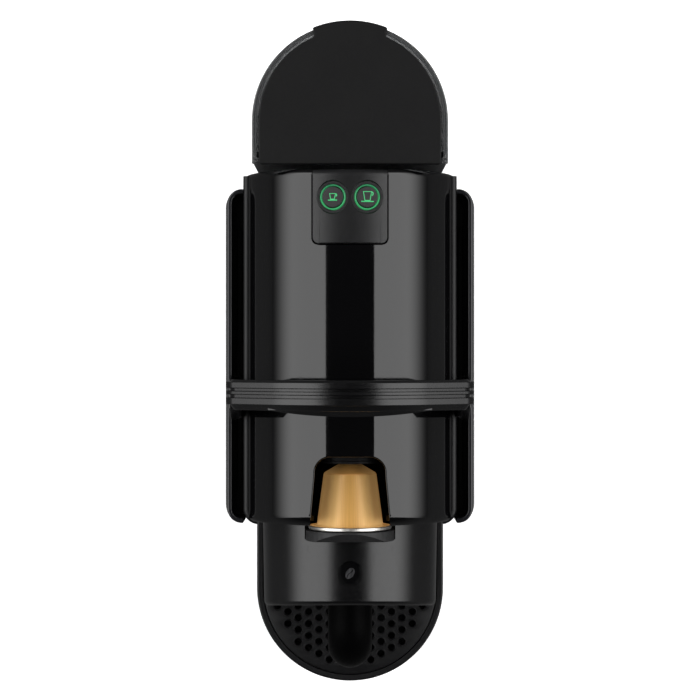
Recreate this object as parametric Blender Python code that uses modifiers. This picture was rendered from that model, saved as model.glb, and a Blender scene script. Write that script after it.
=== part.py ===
"""Pod coffee machine: one named object for each physical piece, in metres, +Z up.

The front, with the spout and the drip tray, faces -Y and the water tank is at +Y. The origin is the
middle of the footprint, on the surface that the feet stand on. The lever is modelled open, upright.
"""

import math

import bmesh
import bpy
from mathutils import Matrix, Vector

OBJECT_NAME = "pod_coffee_machine"
GAP = 0.0003
AXIS_X, AXIS_Y, AXIS_Z = "X", "Y", "Z"

# Barrel: the arched main casing
BARREL_RADIUS = 0.0485
BARREL_AXIS_Z = 0.174
BARREL_WALL = 0.0025
BARREL_FRONT, BARREL_REAR = -0.064, 0.0945
BARREL_BOTTOM = 0.0283
BARREL_LINING = BARREL_RADIUS - BARREL_WALL - GAP

# Cheeks: the bulged side covers, with a groove for the lever arm beside the barrel
CHEEK_INNER_X = 0.0489
CHEEK_BULGE, CHEEK_BULGE_Z = 0.060, 0.115
CHEEK_FOOT_HALF_WIDTH, CHEEK_TOP_HALF_WIDTH = 0.056, 0.0559
CHEEK_BOTTOM, CHEEK_TOP = 0.0073, 0.188
CHEEK_FRONT, CHEEK_REAR = -0.0649, 0.0876
CHEEK_CORNER = 0.0065
CHEEK_WALL = 0.0021
GROOVE_FLOOR, GROOVE_FLOOR_THICKNESS = 0.166, 0.0025
GROOVE_PADS = ((0.016, 0.0715), (-0.0506, 0.0037))

# Base
BASE_BOTTOM, BASE_THICKNESS = 0.004, 0.003
BASE_FLOOR = BASE_BOTTOM + BASE_THICKNESS
BASE_WALL_OUTER, BASE_WALL_INNER, BASE_WALL_TOP = 0.0485, 0.0455, 0.028
BASE_FRONT, BASE_REAR = -0.060, 0.0905
PLATFORM_RADIUS, PLATFORM_TOP, PLATFORM_SKIN = 0.0425, 0.030, 0.003
FOOT_RADIUS, FOOT_HEIGHT = 0.007, 0.0037
FEET = {"front_left": (-0.042, -0.050), "front_right": (0.042, -0.050),
        "rear_left": (-0.027, 0.138), "rear_right": (0.027, 0.138)}
BASE_SCREWS = {"left": (-0.0515, 0.020), "right": (0.0515, 0.020)}

# Head, extraction plate and spout
HEAD_RADIUS, HEAD_AXIS_Z, HEAD_BOTTOM = 0.0411, 0.156, 0.111
HEAD_FRONT, HEAD_REAR, HEAD_WALL = -0.1013, -0.0643, 0.0023
HEAD_SLANT = 0.128
BADGE_RADIUS, BADGE_Y = 0.0052, -0.0868
SPOUT_RADIUS, SPOUT_BORE, COLLAR_RADIUS = 0.0105, 0.0065, 0.0135
SPOUT_Z, SPOUT_Y, SPOUT_BEND, SPOUT_TIP = 0.150, -0.128, 0.012, 0.112

# Capsule and brewing axis (along Y)
BREW_Z = 0.198
CAPSULE_FLANGE_RADIUS = 0.0185
CAPSULE_FLANGE_FRONT, CAPSULE_FLANGE_REAR = -0.0659, -0.0646
CAPSULE_REAR = -0.0373
PLATE_FRONT, PLATE_REAR, PLATE_RADIUS = -0.0715, -0.0669, 0.020
FRAME_FRONT, FRAME_REAR = -0.0637, -0.0614

# Lever and its drive
PIVOT_Y, PIVOT_Z = -0.007, 0.180
ARM_INNER_X, ARM_OUTER_X = 0.049, 0.0533
HUB_RADIUS, HUB_OFFSET, AXLE_RADIUS = 0.0085, 0.0011, 0.004
BAR_Y, BAR_THICKNESS = -0.0052, 0.0137
BAR_BOTTOM, BAR_TOP = 0.252, 0.2638
ARCH_SWEEP, SHOULDER_RADIUS, UNDERSIDE_FLAT, UNDERSIDE_RADIUS = 38, 0.008, 0.013, 0.0461
PUSHER_HALF_WIDTH, PUSHER_DEPTH = 0.035, 0.0035
CRANK_RADIUS, CRANK_ANGLE = 0.0246, math.radians(34.5)
CRANK_INNER_X, CRANK_OUTER_X = 0.0255, 0.0285
PIN_RADIUS = 0.002
EAR_INNER_X, EAR_OUTER_X = 0.0215, 0.0247
SIDE_PLATE_INNER_X, SIDE_PLATE_OUTER_X = 0.031, 0.034

# Brewing cage
CAGE_RADIUS, CAGE_BORE = 0.0183, 0.0156
CAGE_MOUTH, CAGE_BACK, CAGE_REAR = -0.035, -0.005, -0.002
BOSS_RADIUS, BOSS_REAR = 0.006, 0.007
CARRIAGE_TOP = 0.0456
CARRIAGE_ROOF = 0.0432

# Controls
PANEL_HALF_WIDTH, PANEL_FRONT, PANEL_CORNER = 0.0166, 0.0609, 0.003
BUTTON_X, BUTTON_Y = 0.00775, 0.0814
BUTTON_TILT = math.asin(BUTTON_X / BARREL_RADIUS)
BUTTON_RADIUS, RING_INNER, RING_OUTER, RECESS_RADIUS = 0.00465, 0.00495, 0.00575, 0.0073

# Water tank, its lid and its valve
TANK_RADIUS, TANK_CENTRE_Y, TANK_FRONT = 0.04365, 0.1160, 0.0975
TANK_BOTTOM, TANK_TOP, TANK_WALL = 0.032, 0.212, 0.0022
LID_RADIUS, LID_BOTTOM, LID_TOP, LID_FRONT = 0.0405, 0.210, 0.2135, 0.0966
LID_LIP_RADIUS, LID_LIP_HALF_WIDTH = 0.0445, 0.0163
LID_PIN_Y, LID_PIN_Z, LID_PIN_RADIUS = 0.101, 0.2095, 0.0015
VALVE_Y = 0.118

# Drip tray, grid and capsule container
TRAY_RADIUS, TRAY_CENTRE_Y, TRAY_SHOULDER_Y = 0.0491, -0.1114, -0.066
TRAY_BOTTOM, TRAY_TOP, TRAY_RIM = 0.0073, 0.046, 0.0033
TONGUE_HALF_WIDTH, TONGUE_REAR = 0.0435, -0.009
GRID_REAR, GRID_THICKNESS = -0.100, 0.0025
HOLE_RADIUS, HOLE_PITCH_X, HOLE_PITCH_Y, HOLE_FIELD = 0.00185, 0.00546, 0.0063, 0.0395
BIN_HALF_WIDTH, BIN_FRONT, BIN_REAR, BIN_TOP = 0.037, -0.098, -0.012, 0.1095

# Water system
PUMP_X, PUMP_Y = -0.020, 0.066
PUMP_BOTTOM, PUMP_TOP, PUMP_TUBE_RADIUS, PUMP_BORE = 0.050, 0.150, 0.009, 0.0061
METER_X, METER_Y, METER_RADIUS, METER_TOP = 0.025, 0.066, 0.015, 0.0273
BLOCK_FRONT, BLOCK_REAR, BLOCK_BOTTOM, BLOCK_TOP = 0.0195, 0.0445, 0.100, 0.160
HOSE_RADIUS = 0.0026

# Colour, roughness and metallic value of each finish
FINISHES = {
    "gloss_black": ((0.010, 0.010, 0.011), 0.08, 0.0),
    "satin_black": ((0.022, 0.022, 0.024), 0.34, 0.0),
    "matte_black": ((0.014, 0.014, 0.015), 0.60, 0.0),
    "lid_black": ((0.016, 0.016, 0.017), 0.50, 0.0),
    "smoked_clear": ((0.52, 0.55, 0.56), 0.10, 0.0),
    "white_plastic": ((0.72, 0.71, 0.68), 0.40, 0.0),
    "grey_plastic": ((0.18, 0.18, 0.19), 0.45, 0.0),
    "rubber": ((0.020, 0.020, 0.020), 0.85, 0.0),
    "silicone": ((0.55, 0.55, 0.53), 0.55, 0.0),
    "steel": ((0.56, 0.56, 0.58), 0.28, 1.0),
    "cast_aluminium": ((0.62, 0.62, 0.64), 0.45, 1.0),
    "gold_aluminium": ((0.78, 0.53, 0.24), 0.32, 1.0),
    "foil": ((0.80, 0.78, 0.74), 0.30, 1.0),
    "copper": ((0.70, 0.34, 0.20), 0.35, 1.0),
    "board_green": ((0.03, 0.16, 0.07), 0.50, 0.0),
    "green_light": ((0.12, 0.75, 0.30), 0.30, 0.0),
}


def clear_scene():
    for old in list(bpy.data.objects):
        bpy.data.objects.remove(old, do_unlink=True)


def new_collection(name):
    collection = bpy.data.collections.new(name)
    bpy.context.scene.collection.children.link(collection)
    return collection


clear_scene()
PARTS = new_collection(OBJECT_NAME)
CUTTERS = new_collection("cutters")


# ---------------------------------------------------------------- shapes, which start as cutters
def place(name, mesh, matrix=None):
    """A new object in the cutters' collection, which piece() turns into a part."""
    obj = bpy.data.objects.new(name, mesh)
    CUTTERS.objects.link(obj)
    obj.hide_render = True
    obj.display_type = "WIRE"
    if matrix:
        obj.matrix_world = matrix
    return obj


def box(name, low, high):
    low, high = Vector(low), Vector(high)
    bm = bmesh.new()
    bmesh.ops.create_cube(bm, size=1.0, matrix=Matrix.Diagonal((*(high - low), 1.0)))
    mesh = bpy.data.meshes.new(name)
    bm.to_mesh(mesh)
    bm.free()
    return place(name, mesh, Matrix.Translation((low + high) / 2))


def rod(name, start, end, radius, end_radius=None, sides=20):
    """A cylinder or cone from one point to another."""
    start, end = Vector(start), Vector(end)
    bm = bmesh.new()
    bmesh.ops.create_cone(bm, cap_ends=True, segments=sides, radius1=radius, depth=(end - start).length,
                          radius2=radius if end_radius is None else end_radius)
    mesh = bpy.data.meshes.new(name)
    bm.to_mesh(mesh)
    bm.free()
    turn = (end - start).to_track_quat("Z", "Y").to_matrix().to_4x4()
    return place(name, mesh, Matrix.Translation((start + end) / 2) @ turn)


def turned(name, profile, origin=(0, 0, 0), axis=AXIS_Z, sides=20):
    """A profile of (radius, height) turned round an axis; it runs down its outer side, and a profile
    that doesn't start and end on the axis is closed into a ring."""
    bm = bmesh.new()
    points = [bm.verts.new((radius, 0, height)) for radius, height in profile]
    for first, second in zip(points, points[1:]):
        bm.edges.new((first, second))
    if profile[0][0] > 0 or profile[-1][0] > 0:
        bm.edges.new((points[-1], points[0]))
    mesh = bpy.data.meshes.new(name)
    bm.to_mesh(mesh)
    bm.free()
    turns = {AXIS_Z: Matrix(), AXIS_Y: Matrix.Rotation(-math.pi / 2, 4, "X")}
    obj = place(name, mesh, Matrix.Translation(origin) @ turns[axis])
    screw = obj.modifiers.new("turn", "SCREW")
    screw.steps = screw.render_steps = sides
    screw.use_merge_vertices = True
    screw.merge_threshold = 0.00001
    return obj


def solid_from_curve(name, curve, matrix):
    """The closed mesh of a curve, with its caps welded on."""
    guide = bpy.data.objects.new(name, curve)
    guide.matrix_world = matrix
    CUTTERS.objects.link(guide)
    bpy.context.view_layer.update()
    evaluated = guide.evaluated_get(bpy.context.evaluated_depsgraph_get())
    mesh = bpy.data.meshes.new_from_object(evaluated)
    bm = bmesh.new()
    bm.from_mesh(mesh)
    bmesh.ops.remove_doubles(bm, verts=bm.verts, dist=0.000001)
    bmesh.ops.recalc_face_normals(bm, faces=bm.faces)
    bm.to_mesh(mesh)
    bm.free()
    bpy.data.objects.remove(guide)
    bpy.data.curves.remove(curve)
    return place(name, mesh, matrix)


def poly_spline(curve, points, cyclic):
    spline = curve.splines.new("POLY")
    spline.points.add(len(points) - 1)
    for target, point in zip(spline.points, points):
        target.co = (*point, *([0.0] * (3 - len(point))), 1.0)
    spline.use_cyclic_u = cyclic


def prism(name, axis, low, high, *outlines):
    """Closed outlines, the later ones holes, extruded along an axis. An outline across X is (y, z),
    across Y is (x, z) and across Z is (x, y)."""
    curve = bpy.data.curves.new(name, "CURVE")
    curve.dimensions = "2D"
    curve.fill_mode = "BOTH"
    curve.extrude = (high - low) / 2
    for outline in outlines:
        poly_spline(curve, outline, cyclic=True)
    middle = (low + high) / 2
    quarter = math.pi / 2
    places = {
        AXIS_X: Matrix.Translation((middle, 0, 0)) @ Matrix.Rotation(quarter, 4, "Z")
        @ Matrix.Rotation(quarter, 4, "X"),
        AXIS_Y: Matrix.Translation((0, middle, 0)) @ Matrix.Rotation(quarter, 4, "X"),
        AXIS_Z: Matrix.Translation((0, 0, middle)),
    }
    return solid_from_curve(name, curve, places[axis])


def tube(name, points, radius, roundness=2):
    curve = bpy.data.curves.new(name, "CURVE")
    curve.dimensions = "3D"
    curve.bevel_depth = radius
    curve.bevel_resolution = roundness
    curve.use_fill_caps = True
    poly_spline(curve, points, cyclic=False)
    return solid_from_curve(name, curve, Matrix())


# ---------------------------------------------------------------- modelling steps
def combine(target, operation, tools):
    """Booleans on the target. Each tool is parented to it, so that the two move together."""
    for tool in tools:
        bpy.context.view_layer.update()
        tool.parent = target
        tool.matrix_parent_inverse = target.matrix_world.inverted()
        boolean = target.modifiers.new(tool.name, "BOOLEAN")
        boolean.operation = operation
        boolean.solver = "EXACT"
        boolean.object = tool
    return target


def cut(target, *tools):
    return combine(target, "DIFFERENCE", tools)


def join(target, *tools):
    return combine(target, "UNION", tools)


def keep_inside(target, *tools):
    return combine(target, "INTERSECT", tools)


def soften(obj, width, segments=2, angle=40):
    bevel = obj.modifiers.new("rounded_edges", "BEVEL")
    bevel.width = width
    bevel.segments = segments
    bevel.limit_method = "ANGLE"
    bevel.angle_limit = math.radians(angle)
    return obj


def piece(obj, name, finish, parent=None):
    """Turns a shape into a part: names it, gives it its own material and hangs it on its pivot."""
    obj.name = name
    CUTTERS.objects.unlink(obj)
    PARTS.objects.link(obj)
    obj.hide_render = False
    obj.display_type = "TEXTURED"
    colour, roughness, metallic = FINISHES[finish]
    material = bpy.data.materials.new(name + "_" + finish)
    material.use_nodes = True
    surface = material.node_tree.nodes["Principled BSDF"]
    surface.inputs["Base Color"].default_value = (*colour, 1.0)
    surface.inputs["Roughness"].default_value = roughness
    surface.inputs["Metallic"].default_value = metallic
    material.diffuse_color = (*colour, 1.0)
    obj.data.materials.clear()
    obj.data.materials.append(material)
    obj.data.shade_smooth()
    obj.data.set_sharp_from_angle(angle=math.radians(35))
    if parent:
        bpy.context.view_layer.update()
        obj.parent = parent
        obj.location = obj.location - parent.matrix_world.translation
    return obj


def pivot(name, location, parent=None):
    empty = bpy.data.objects.new(name, None)
    empty.empty_display_size = 0.01
    PARTS.objects.link(empty)
    empty.location = location
    if parent:
        bpy.context.view_layer.update()
        empty.parent = parent
        empty.location = Vector(location) - parent.matrix_world.translation
    return empty


# ---------------------------------------------------------------- outlines
def arc(centre, radius, start, end, steps):
    """Points along an arc, its angles in degrees."""
    angles = [math.radians(start + (end - start) * i / steps) for i in range(steps + 1)]
    return [(centre[0] + radius * math.cos(a), centre[1] + radius * math.sin(a)) for a in angles]


def rounded_rectangle(low, high, radius, steps=4):
    left, bottom, right, top = low[0] + radius, low[1] + radius, high[0] - radius, high[1] - radius
    return (arc((right, top), radius, 0, 90, steps) + arc((left, top), radius, 90, 180, steps)
            + arc((left, bottom), radius, 180, 270, steps)
            + arc((right, bottom), radius, 270, 360, steps))


def arch(radius, axis_z, bottom, steps=24):
    """An upright outline with a round top, across Y."""
    return [(-radius, bottom), (radius, bottom)] + arc((0, axis_z), radius, 0, 180, steps)


def arch_band(inner, outer, half_angle, steps=12):
    """Part of a ring round the barrel's axis, centred on its crown."""
    centre = (0, BARREL_AXIS_Z)
    return (arc(centre, outer, 90 - half_angle, 90 + half_angle, steps)
            + arc(centre, inner, 90 + half_angle, 90 - half_angle, steps))


def d_shape(radius, centre_y, straight_y, towards, steps=20):
    """Seen from above: a half circle towards +Y (1) or -Y (-1) with straight sides to straight_y."""
    ends = (0, 180) if towards > 0 else (180, 360)
    round_end = arc((0, centre_y), radius, *ends, steps)
    return round_end + [(-radius * towards, straight_y), (radius * towards, straight_y)]


def pivot_hull(far_y, far_z, near_radius, far_radius, steps=10):
    """Across X: the outline round the pivot's circle and a second circle."""
    dy, dz = far_y - PIVOT_Y, far_z - PIVOT_Z
    lean = math.degrees(math.atan2(dz, dy))
    spread = math.degrees(math.acos((near_radius - far_radius) / math.hypot(dy, dz)))
    return (arc((far_y, far_z), far_radius, lean - spread, lean + spread, steps)
            + arc((PIVOT_Y, PIVOT_Z), near_radius, lean + spread, lean + 360 - spread, steps))


# ---------------------------------------------------------------- casing
def cheek_half_width(z):
    drop = z - CHEEK_BULGE_Z
    if drop < 0:
        foot = (CHEEK_BULGE - CHEEK_FOOT_HALF_WIDTH) / (CHEEK_BOTTOM - CHEEK_BULGE_Z) ** 2
        return CHEEK_BULGE - foot * drop ** 2
    top = (CHEEK_BULGE - CHEEK_TOP_HALF_WIDTH) / (CHEEK_TOP - CHEEK_BULGE_Z) ** 2
    return CHEEK_BULGE - top * drop ** 2


def cheek_form(name, side, inset, inner_x, bottom, top, steps=14):
    """The cheek's outer form, set in by a wall's thickness, between two heights."""
    heights = [bottom + (top - bottom) * i / steps for i in range(steps + 1)]
    section = [(side * inner_x, bottom)]
    section += [(side * (cheek_half_width(min(z, CHEEK_TOP)) - inset), z) for z in heights]
    section += [(side * inner_x, top)]
    front, rear = CHEEK_FRONT + inset, CHEEK_REAR - inset
    form = prism(name, AXIS_Y, front - 0.002, rear + 0.002, section)
    far = CHEEK_BULGE + 0.001 - inset
    radius = CHEEK_CORNER - inset
    plan = ([(side * inner_x, front)] + arc((far - radius, front + radius), radius, 270, 360, 5)
            + arc((far - radius, rear - radius), radius, 0, 90, 5) + [(side * inner_x, rear)])
    plan = [(side * abs(x), y) for x, y in plan]
    return keep_inside(form, prism(name + "_plan", AXIS_Z, bottom - 0.002, top + 0.002, plan))


def make_cheek(name, side):
    shell = cheek_form(name, side, 0.0, CHEEK_INNER_X, CHEEK_BOTTOM, CHEEK_TOP)
    hollow_inner_x = CHEEK_INNER_X - 0.001
    hollow = cheek_form(name + "_hollow", side, CHEEK_WALL, hollow_inner_x,
                        CHEEK_BOTTOM + 0.002, GROOVE_FLOOR - GROOVE_FLOOR_THICKNESS)
    groove = cheek_form(name + "_groove", side, CHEEK_WALL, hollow_inner_x,
                        GROOVE_FLOOR, CHEEK_TOP + 0.002)
    cut(shell, hollow, groove)
    for number, (front, rear) in enumerate(GROOVE_PADS):
        inner, outer = sorted((side * 0.0502, side * 0.0528))
        pad = box(f"{name}_pad_{number}", (inner, front, GROOVE_FLOOR - 0.0005),
                  (outer, rear, GROOVE_FLOOR + 0.0015))
        join(shell, pad)
    x, y = BASE_SCREWS["right" if side > 0 else "left"]
    cut(shell, rod(f"{name}_screw_hole", (x, y, 0), (x, y, 0.012), 0.0018, sides=16))
    piece(shell, name, "gloss_black")


def make_barrel():
    outer = arch(BARREL_RADIUS, BARREL_AXIS_Z, BARREL_BOTTOM - 0.005, 24)
    shell = soften(prism("barrel", AXIS_Y, BARREL_FRONT, BARREL_REAR, outer), 0.0012)
    trim = box("barrel_trim", (-0.06, -0.08, 0.01), (0.06, 0.11, BARREL_BOTTOM))
    inner_radius = BARREL_RADIUS - BARREL_WALL
    bore = prism("barrel_bore", AXIS_Y, BARREL_FRONT - 0.01, BARREL_REAR + 0.01,
                 arch(inner_radius, BARREL_AXIS_Z, BARREL_BOTTOM - 0.01, 24))
    mouth = [(0.0175, BARREL_FRONT - 0.01), (0.0175, -0.064), (0.0155, -0.042)]
    mouth += arc((0.0085, -0.0402), 0.007, 0, 90, 5)
    mouth += [(-x, y) for x, y in reversed(mouth)]
    opening = prism("capsule_opening", AXIS_Z, 0.195, 0.230, mouth)
    panel_window = prism("panel_window", AXIS_Z, 0.205, 0.230, panel_outline(GAP))
    axle_hole = rod("axle_holes", (-0.06, PIVOT_Y, PIVOT_Z), (0.06, PIVOT_Y, PIVOT_Z), 0.0046)
    cut(shell, bore, opening, panel_window, axle_hole, trim)
    piece(shell, "barrel_shell", "gloss_black")


def make_base():
    body = rounded_rectangle((-0.0545, BASE_FRONT), (0.0545, BASE_REAR), 0.007)
    plate = prism("base", AXIS_Z, BASE_BOTTOM, BASE_FLOOR, body)
    inner = BASE_WALL_INNER
    wall_front = BASE_FRONT + 0.002
    wall_rear = BASE_REAR - 0.0005
    side_walls = prism(
        "base_walls", AXIS_Z, BASE_FLOOR - 0.001, BASE_WALL_TOP,
        [(-BASE_WALL_OUTER, wall_front), (-inner, wall_front), (-inner, -0.006), (inner, -0.006),
         (inner, wall_front), (BASE_WALL_OUTER, wall_front), (BASE_WALL_OUTER, wall_rear),
         (-BASE_WALL_OUTER, wall_rear)],
        [(-inner, -0.0035), (-inner, wall_rear - 0.003), (inner, wall_rear - 0.003), (inner, -0.0035)])
    platform = prism("platform", AXIS_Z, BASE_BOTTOM + 0.0002, PLATFORM_TOP,
                     d_shape(PLATFORM_RADIUS, TANK_CENTRE_Y, BASE_REAR - 0.004, 1))
    hollow = prism("platform_hollow", AXIS_Z, BASE_FLOOR, PLATFORM_TOP - PLATFORM_SKIN,
                   d_shape(PLATFORM_RADIUS - 0.0025, TANK_CENTRE_Y, BASE_REAR - 0.010, 1))
    join(plate, side_walls, platform)
    cut(plate, hollow)
    cut(plate, rod("socket_hole", (0, VALVE_Y, 0.020), (0, VALVE_Y, 0.035), 0.0120))
    rear_y = TANK_CENTRE_Y + PLATFORM_RADIUS
    cut(plate, rod("gland_hole", (0, rear_y - 0.01, 0.0165), (0, rear_y + 0.01, 0.0165), 0.0053))
    for name, (x, y) in BASE_SCREWS.items():
        cut(plate, rod("screw_hole_" + name, (x, y, 0), (x, y, 0.010), 0.0018, sides=16))
    piece(plate, "base_plate", "matte_black")


def make_feet_and_screws():
    for name, (x, y) in FEET.items():
        foot = rod("foot", (x, y, 0), (x, y, FOOT_HEIGHT), FOOT_RADIUS - 0.0008, FOOT_RADIUS, 24)
        piece(foot, "foot_" + name, "rubber")
    for name, (x, y) in BASE_SCREWS.items():
        screw = rod("screw", (x, y, 0.0018), (x, y, BASE_BOTTOM - GAP), 0.003, sides=16)
        join(screw, rod("shank", (x, y, 0.003), (x, y, 0.0115), 0.0014, sides=16))
        slot = box("screw_slot", (x - 0.004, y - 0.0004, 0.001), (x + 0.004, y + 0.0004, 0.0025))
        piece(cut(screw, slot), "screw_" + name, "steel")


def make_rear_panel():
    panel = prism("panel", AXIS_Y, 0.0908, 0.0932, arch(BARREL_LINING, BARREL_AXIS_Z, PLATFORM_TOP + GAP))
    for name, low, high in (("lower", 0.0560, 0.0597), ("upper", 0.1443, 0.1480)):
        shelf = box("pump_shelf_" + name, (PUMP_X - 0.017, PUMP_Y - 0.016, low),
                    (PUMP_X + 0.017, 0.0915, high))
        join(panel, shelf)
    cut(panel, rod("pump_way", (PUMP_X, PUMP_Y, 0.050), (PUMP_X, PUMP_Y, 0.155), 0.0105))
    for number in range(6):
        z = 0.052 + 0.007 * number
        cut(panel, box(f"vent_{number}", (0.008, 0.085, z), (0.036, 0.100, z + 0.003)))
    piece(panel, "rear_panel", "matte_black")


def make_cable_gland():
    rear_y = TANK_CENTRE_Y + PLATFORM_RADIUS
    gland = turned("gland", [(0.0068, 0), (0.0068, -0.0014), (0.0050, -0.0014), (0.0050, -0.008),
                             (0.0034, -0.008), (0.0034, 0)],
                   (0, rear_y + 0.0017, 0.0165), AXIS_Y, 24)
    piece(gland, "cable_gland", "rubber")


# ---------------------------------------------------------------- head and spout
def head_front(z):
    """The head's front leans back towards its top."""
    return HEAD_FRONT - HEAD_SLANT * (HEAD_AXIS_Z + HEAD_RADIUS - z)


def slant_front(shape):
    for vertex in shape.data.vertices:
        point = shape.matrix_world @ vertex.co
        if point.y < HEAD_REAR - 0.02:
            point.y += head_front(point.z) - HEAD_FRONT
            vertex.co = shape.matrix_world.inverted() @ point
    return shape


def make_head():
    cover = prism("head", AXIS_Y, HEAD_FRONT, HEAD_REAR,
                  arch(HEAD_RADIUS, HEAD_AXIS_Z, HEAD_BOTTOM, 20))
    soften(slant_front(cover), 0.0018)
    wall = HEAD_WALL
    hollow = prism("head_hollow", AXIS_Y, HEAD_FRONT + wall, HEAD_REAR + 0.01,
                   arch(HEAD_RADIUS - wall, HEAD_AXIS_Z, HEAD_BOTTOM + wall, 20))
    slant_front(hollow)
    notch = box("plate_notch", (-0.0206, PLATE_FRONT - 0.0006, 0.172), (0.0206, -0.05, 0.230))
    spout_hole = rod("spout_hole", (0, HEAD_FRONT - 0.01, SPOUT_Z), (0, HEAD_FRONT + 0.01, SPOUT_Z),
                     SPOUT_RADIUS + GAP)
    badge_seat = rod("badge_seat", (0, BADGE_Y, 0.1960), (0, BADGE_Y, 0.2), BADGE_RADIUS + GAP, sides=20)
    cut(cover, hollow, notch, spout_hole, badge_seat)
    piece(cover, "head_cover", "satin_black")
    badge = soften(rod("badge", (0, BADGE_Y, 0.1963), (0, BADGE_Y, 0.1976), BADGE_RADIUS, sides=20),
                   0.0003, 1)
    piece(badge, "head_badge", "gloss_black")


def make_extraction_plate():
    """The plate that the capsule's foil is pressed on. Its top follows the lever bar's sweep."""
    plate = rod("plate", (0, PLATE_FRONT, BREW_Z), (0, PLATE_REAR, BREW_Z), PLATE_RADIUS, sides=40)
    apron = box("plate_apron", (-0.030, PLATE_FRONT, 0.166), (0.030, PLATE_REAR, 0.179))
    funnel = rod("plate_funnel", (0, PLATE_FRONT - 0.024, 0.176), (0, PLATE_FRONT + 0.002, 0.176), 0.006)
    join(plate, apron, funnel)
    for side in (-1, 1):
        join(plate, rod("plate_pillar", (side * 0.026, PLATE_REAR - 0.002, 0.1725),
                        (side * 0.026, FRAME_FRONT - GAP, 0.1725), 0.003, sides=16))
    sweep = rod("bar_sweep", (-0.05, PIVOT_Y, PIVOT_Z), (0.05, PIVOT_Y, PIVOT_Z), 0.0713, sides=72)
    body = box("plate_keep", (-0.05, -0.11, 0.15), (0.05, -0.0725, 0.190))
    keep_inside(plate, join(sweep, body))
    cut(plate, rod("coffee_way", (0, PLATE_FRONT - 0.03, 0.176), (0, PLATE_REAR + 0.01, 0.176), 0.0025,
                   sides=16))
    for row in range(-2, 3):
        z = BREW_Z + 0.0055 * row
        cut(plate, box(f"plate_groove_{row}", (-0.012, PLATE_REAR - 0.0008, z - 0.0006),
                       (0.012, PLATE_REAR + 0.001, z + 0.0006)))
    piece(plate, "extraction_plate", "matte_black")


def spout_route(end_drop):
    start = [(0, HEAD_FRONT + 0.005 + end_drop, SPOUT_Z)]
    bend = arc((SPOUT_Y + SPOUT_BEND, SPOUT_Z - SPOUT_BEND), SPOUT_BEND, 90, 180, 8)
    return start + [(0, y, z) for y, z in bend] + [(0, SPOUT_Y, SPOUT_TIP - end_drop)]


def make_spout():
    spout = tube("spout", spout_route(0), SPOUT_RADIUS)
    wall_rear = head_front(SPOUT_Z + COLLAR_RADIUS) + HEAD_WALL
    collar = rod("spout_collar", (0, wall_rear + GAP, SPOUT_Z), (0, wall_rear + 0.0032, SPOUT_Z),
                 COLLAR_RADIUS)
    join(spout, collar)
    cut(spout, tube("spout_channel", spout_route(0.01), SPOUT_BORE))
    piece(spout, "coffee_spout", "satin_black")


# ---------------------------------------------------------------- brewing unit
def make_capsule_chute():
    """The front bulkhead and the shaft that used capsules drop through, in one moulding."""
    bulkhead = prism("bulkhead", AXIS_Y, FRAME_FRONT, FRAME_REAR,
                     arch(BARREL_LINING, BARREL_AXIS_Z, BARREL_BOTTOM + 0.0005))
    shaft = prism("shaft", AXIS_Z, 0.1115, 0.174,
                  [(-0.023, FRAME_REAR - 0.001), (-0.021, FRAME_REAR - 0.001), (-0.021, -0.034),
                   (0.021, -0.034), (0.021, FRAME_REAR - 0.001), (0.023, FRAME_REAR - 0.001),
                   (0.023, -0.032), (-0.023, -0.032)])
    join(bulkhead, shaft)
    drawer_way = box("drawer_way", (-0.0440, -0.07, 0.02), (0.0440, -0.058, 0.1105))
    drop_way = box("drop_way", (-0.0165, -0.07, 0.10), (0.0165, -0.058, BREW_Z))
    top_way = box("top_way", (-0.0178, -0.07, BREW_Z), (0.0178, -0.058, 0.23))
    cage_way = rod("cage_way", (0, -0.07, BREW_Z), (0, -0.058, BREW_Z), 0.019)
    cut(bulkhead, drawer_way, drop_way, top_way, cage_way)
    piece(bulkhead, "capsule_chute", "matte_black")


def make_brew_frame():
    plates = [prism(f"side_plate_{side}", AXIS_X, *sorted((side * SIDE_PLATE_INNER_X,
                                                           side * SIDE_PLATE_OUTER_X)),
                    rounded_rectangle((-0.0605, 0.165), (0.0245, 0.200), 0.005)) for side in (-1, 1)]
    rear = box("rear_plate", (-SIDE_PLATE_OUTER_X, 0.024, 0.165), (SIDE_PLATE_OUTER_X, 0.027, 0.2025))
    shelf = box("cage_shelf", (-0.0246, -0.031, 0.1755), (0.0246, 0.0245, 0.1785))
    join(rear, *plates, shelf)
    for side in (-1, 1):
        cut(rear, rod(f"bush_way_{side}", (side * 0.028, PIVOT_Y, PIVOT_Z),
                      (side * 0.037, PIVOT_Y, PIVOT_Z), 0.0064))
    cut(rear, rod("inlet_way", (0, 0.02, BREW_Z), (0, 0.03, BREW_Z), 0.0070))
    piece(rear, "brew_frame", "steel")
    for name, side in (("left", -1), ("right", 1)):
        bush = rod("bush", (side * 0.0295, PIVOT_Y, PIVOT_Z), (side * 0.0355, PIVOT_Y, PIVOT_Z), 0.0060,
                   sides=20)
        bore = rod("bush_bore", (side * 0.028, PIVOT_Y, PIVOT_Z), (side * 0.037, PIVOT_Y, PIVOT_Z),
                   AXLE_RADIUS + GAP, sides=20)
        flange = rod("bush_flange", (side * 0.0343, PIVOT_Y, PIVOT_Z),
                     (side * 0.0360, PIVOT_Y, PIVOT_Z), 0.0080, sides=20)
        piece(cut(join(bush, flange), bore), "bush_" + name, "white_plastic")


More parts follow.
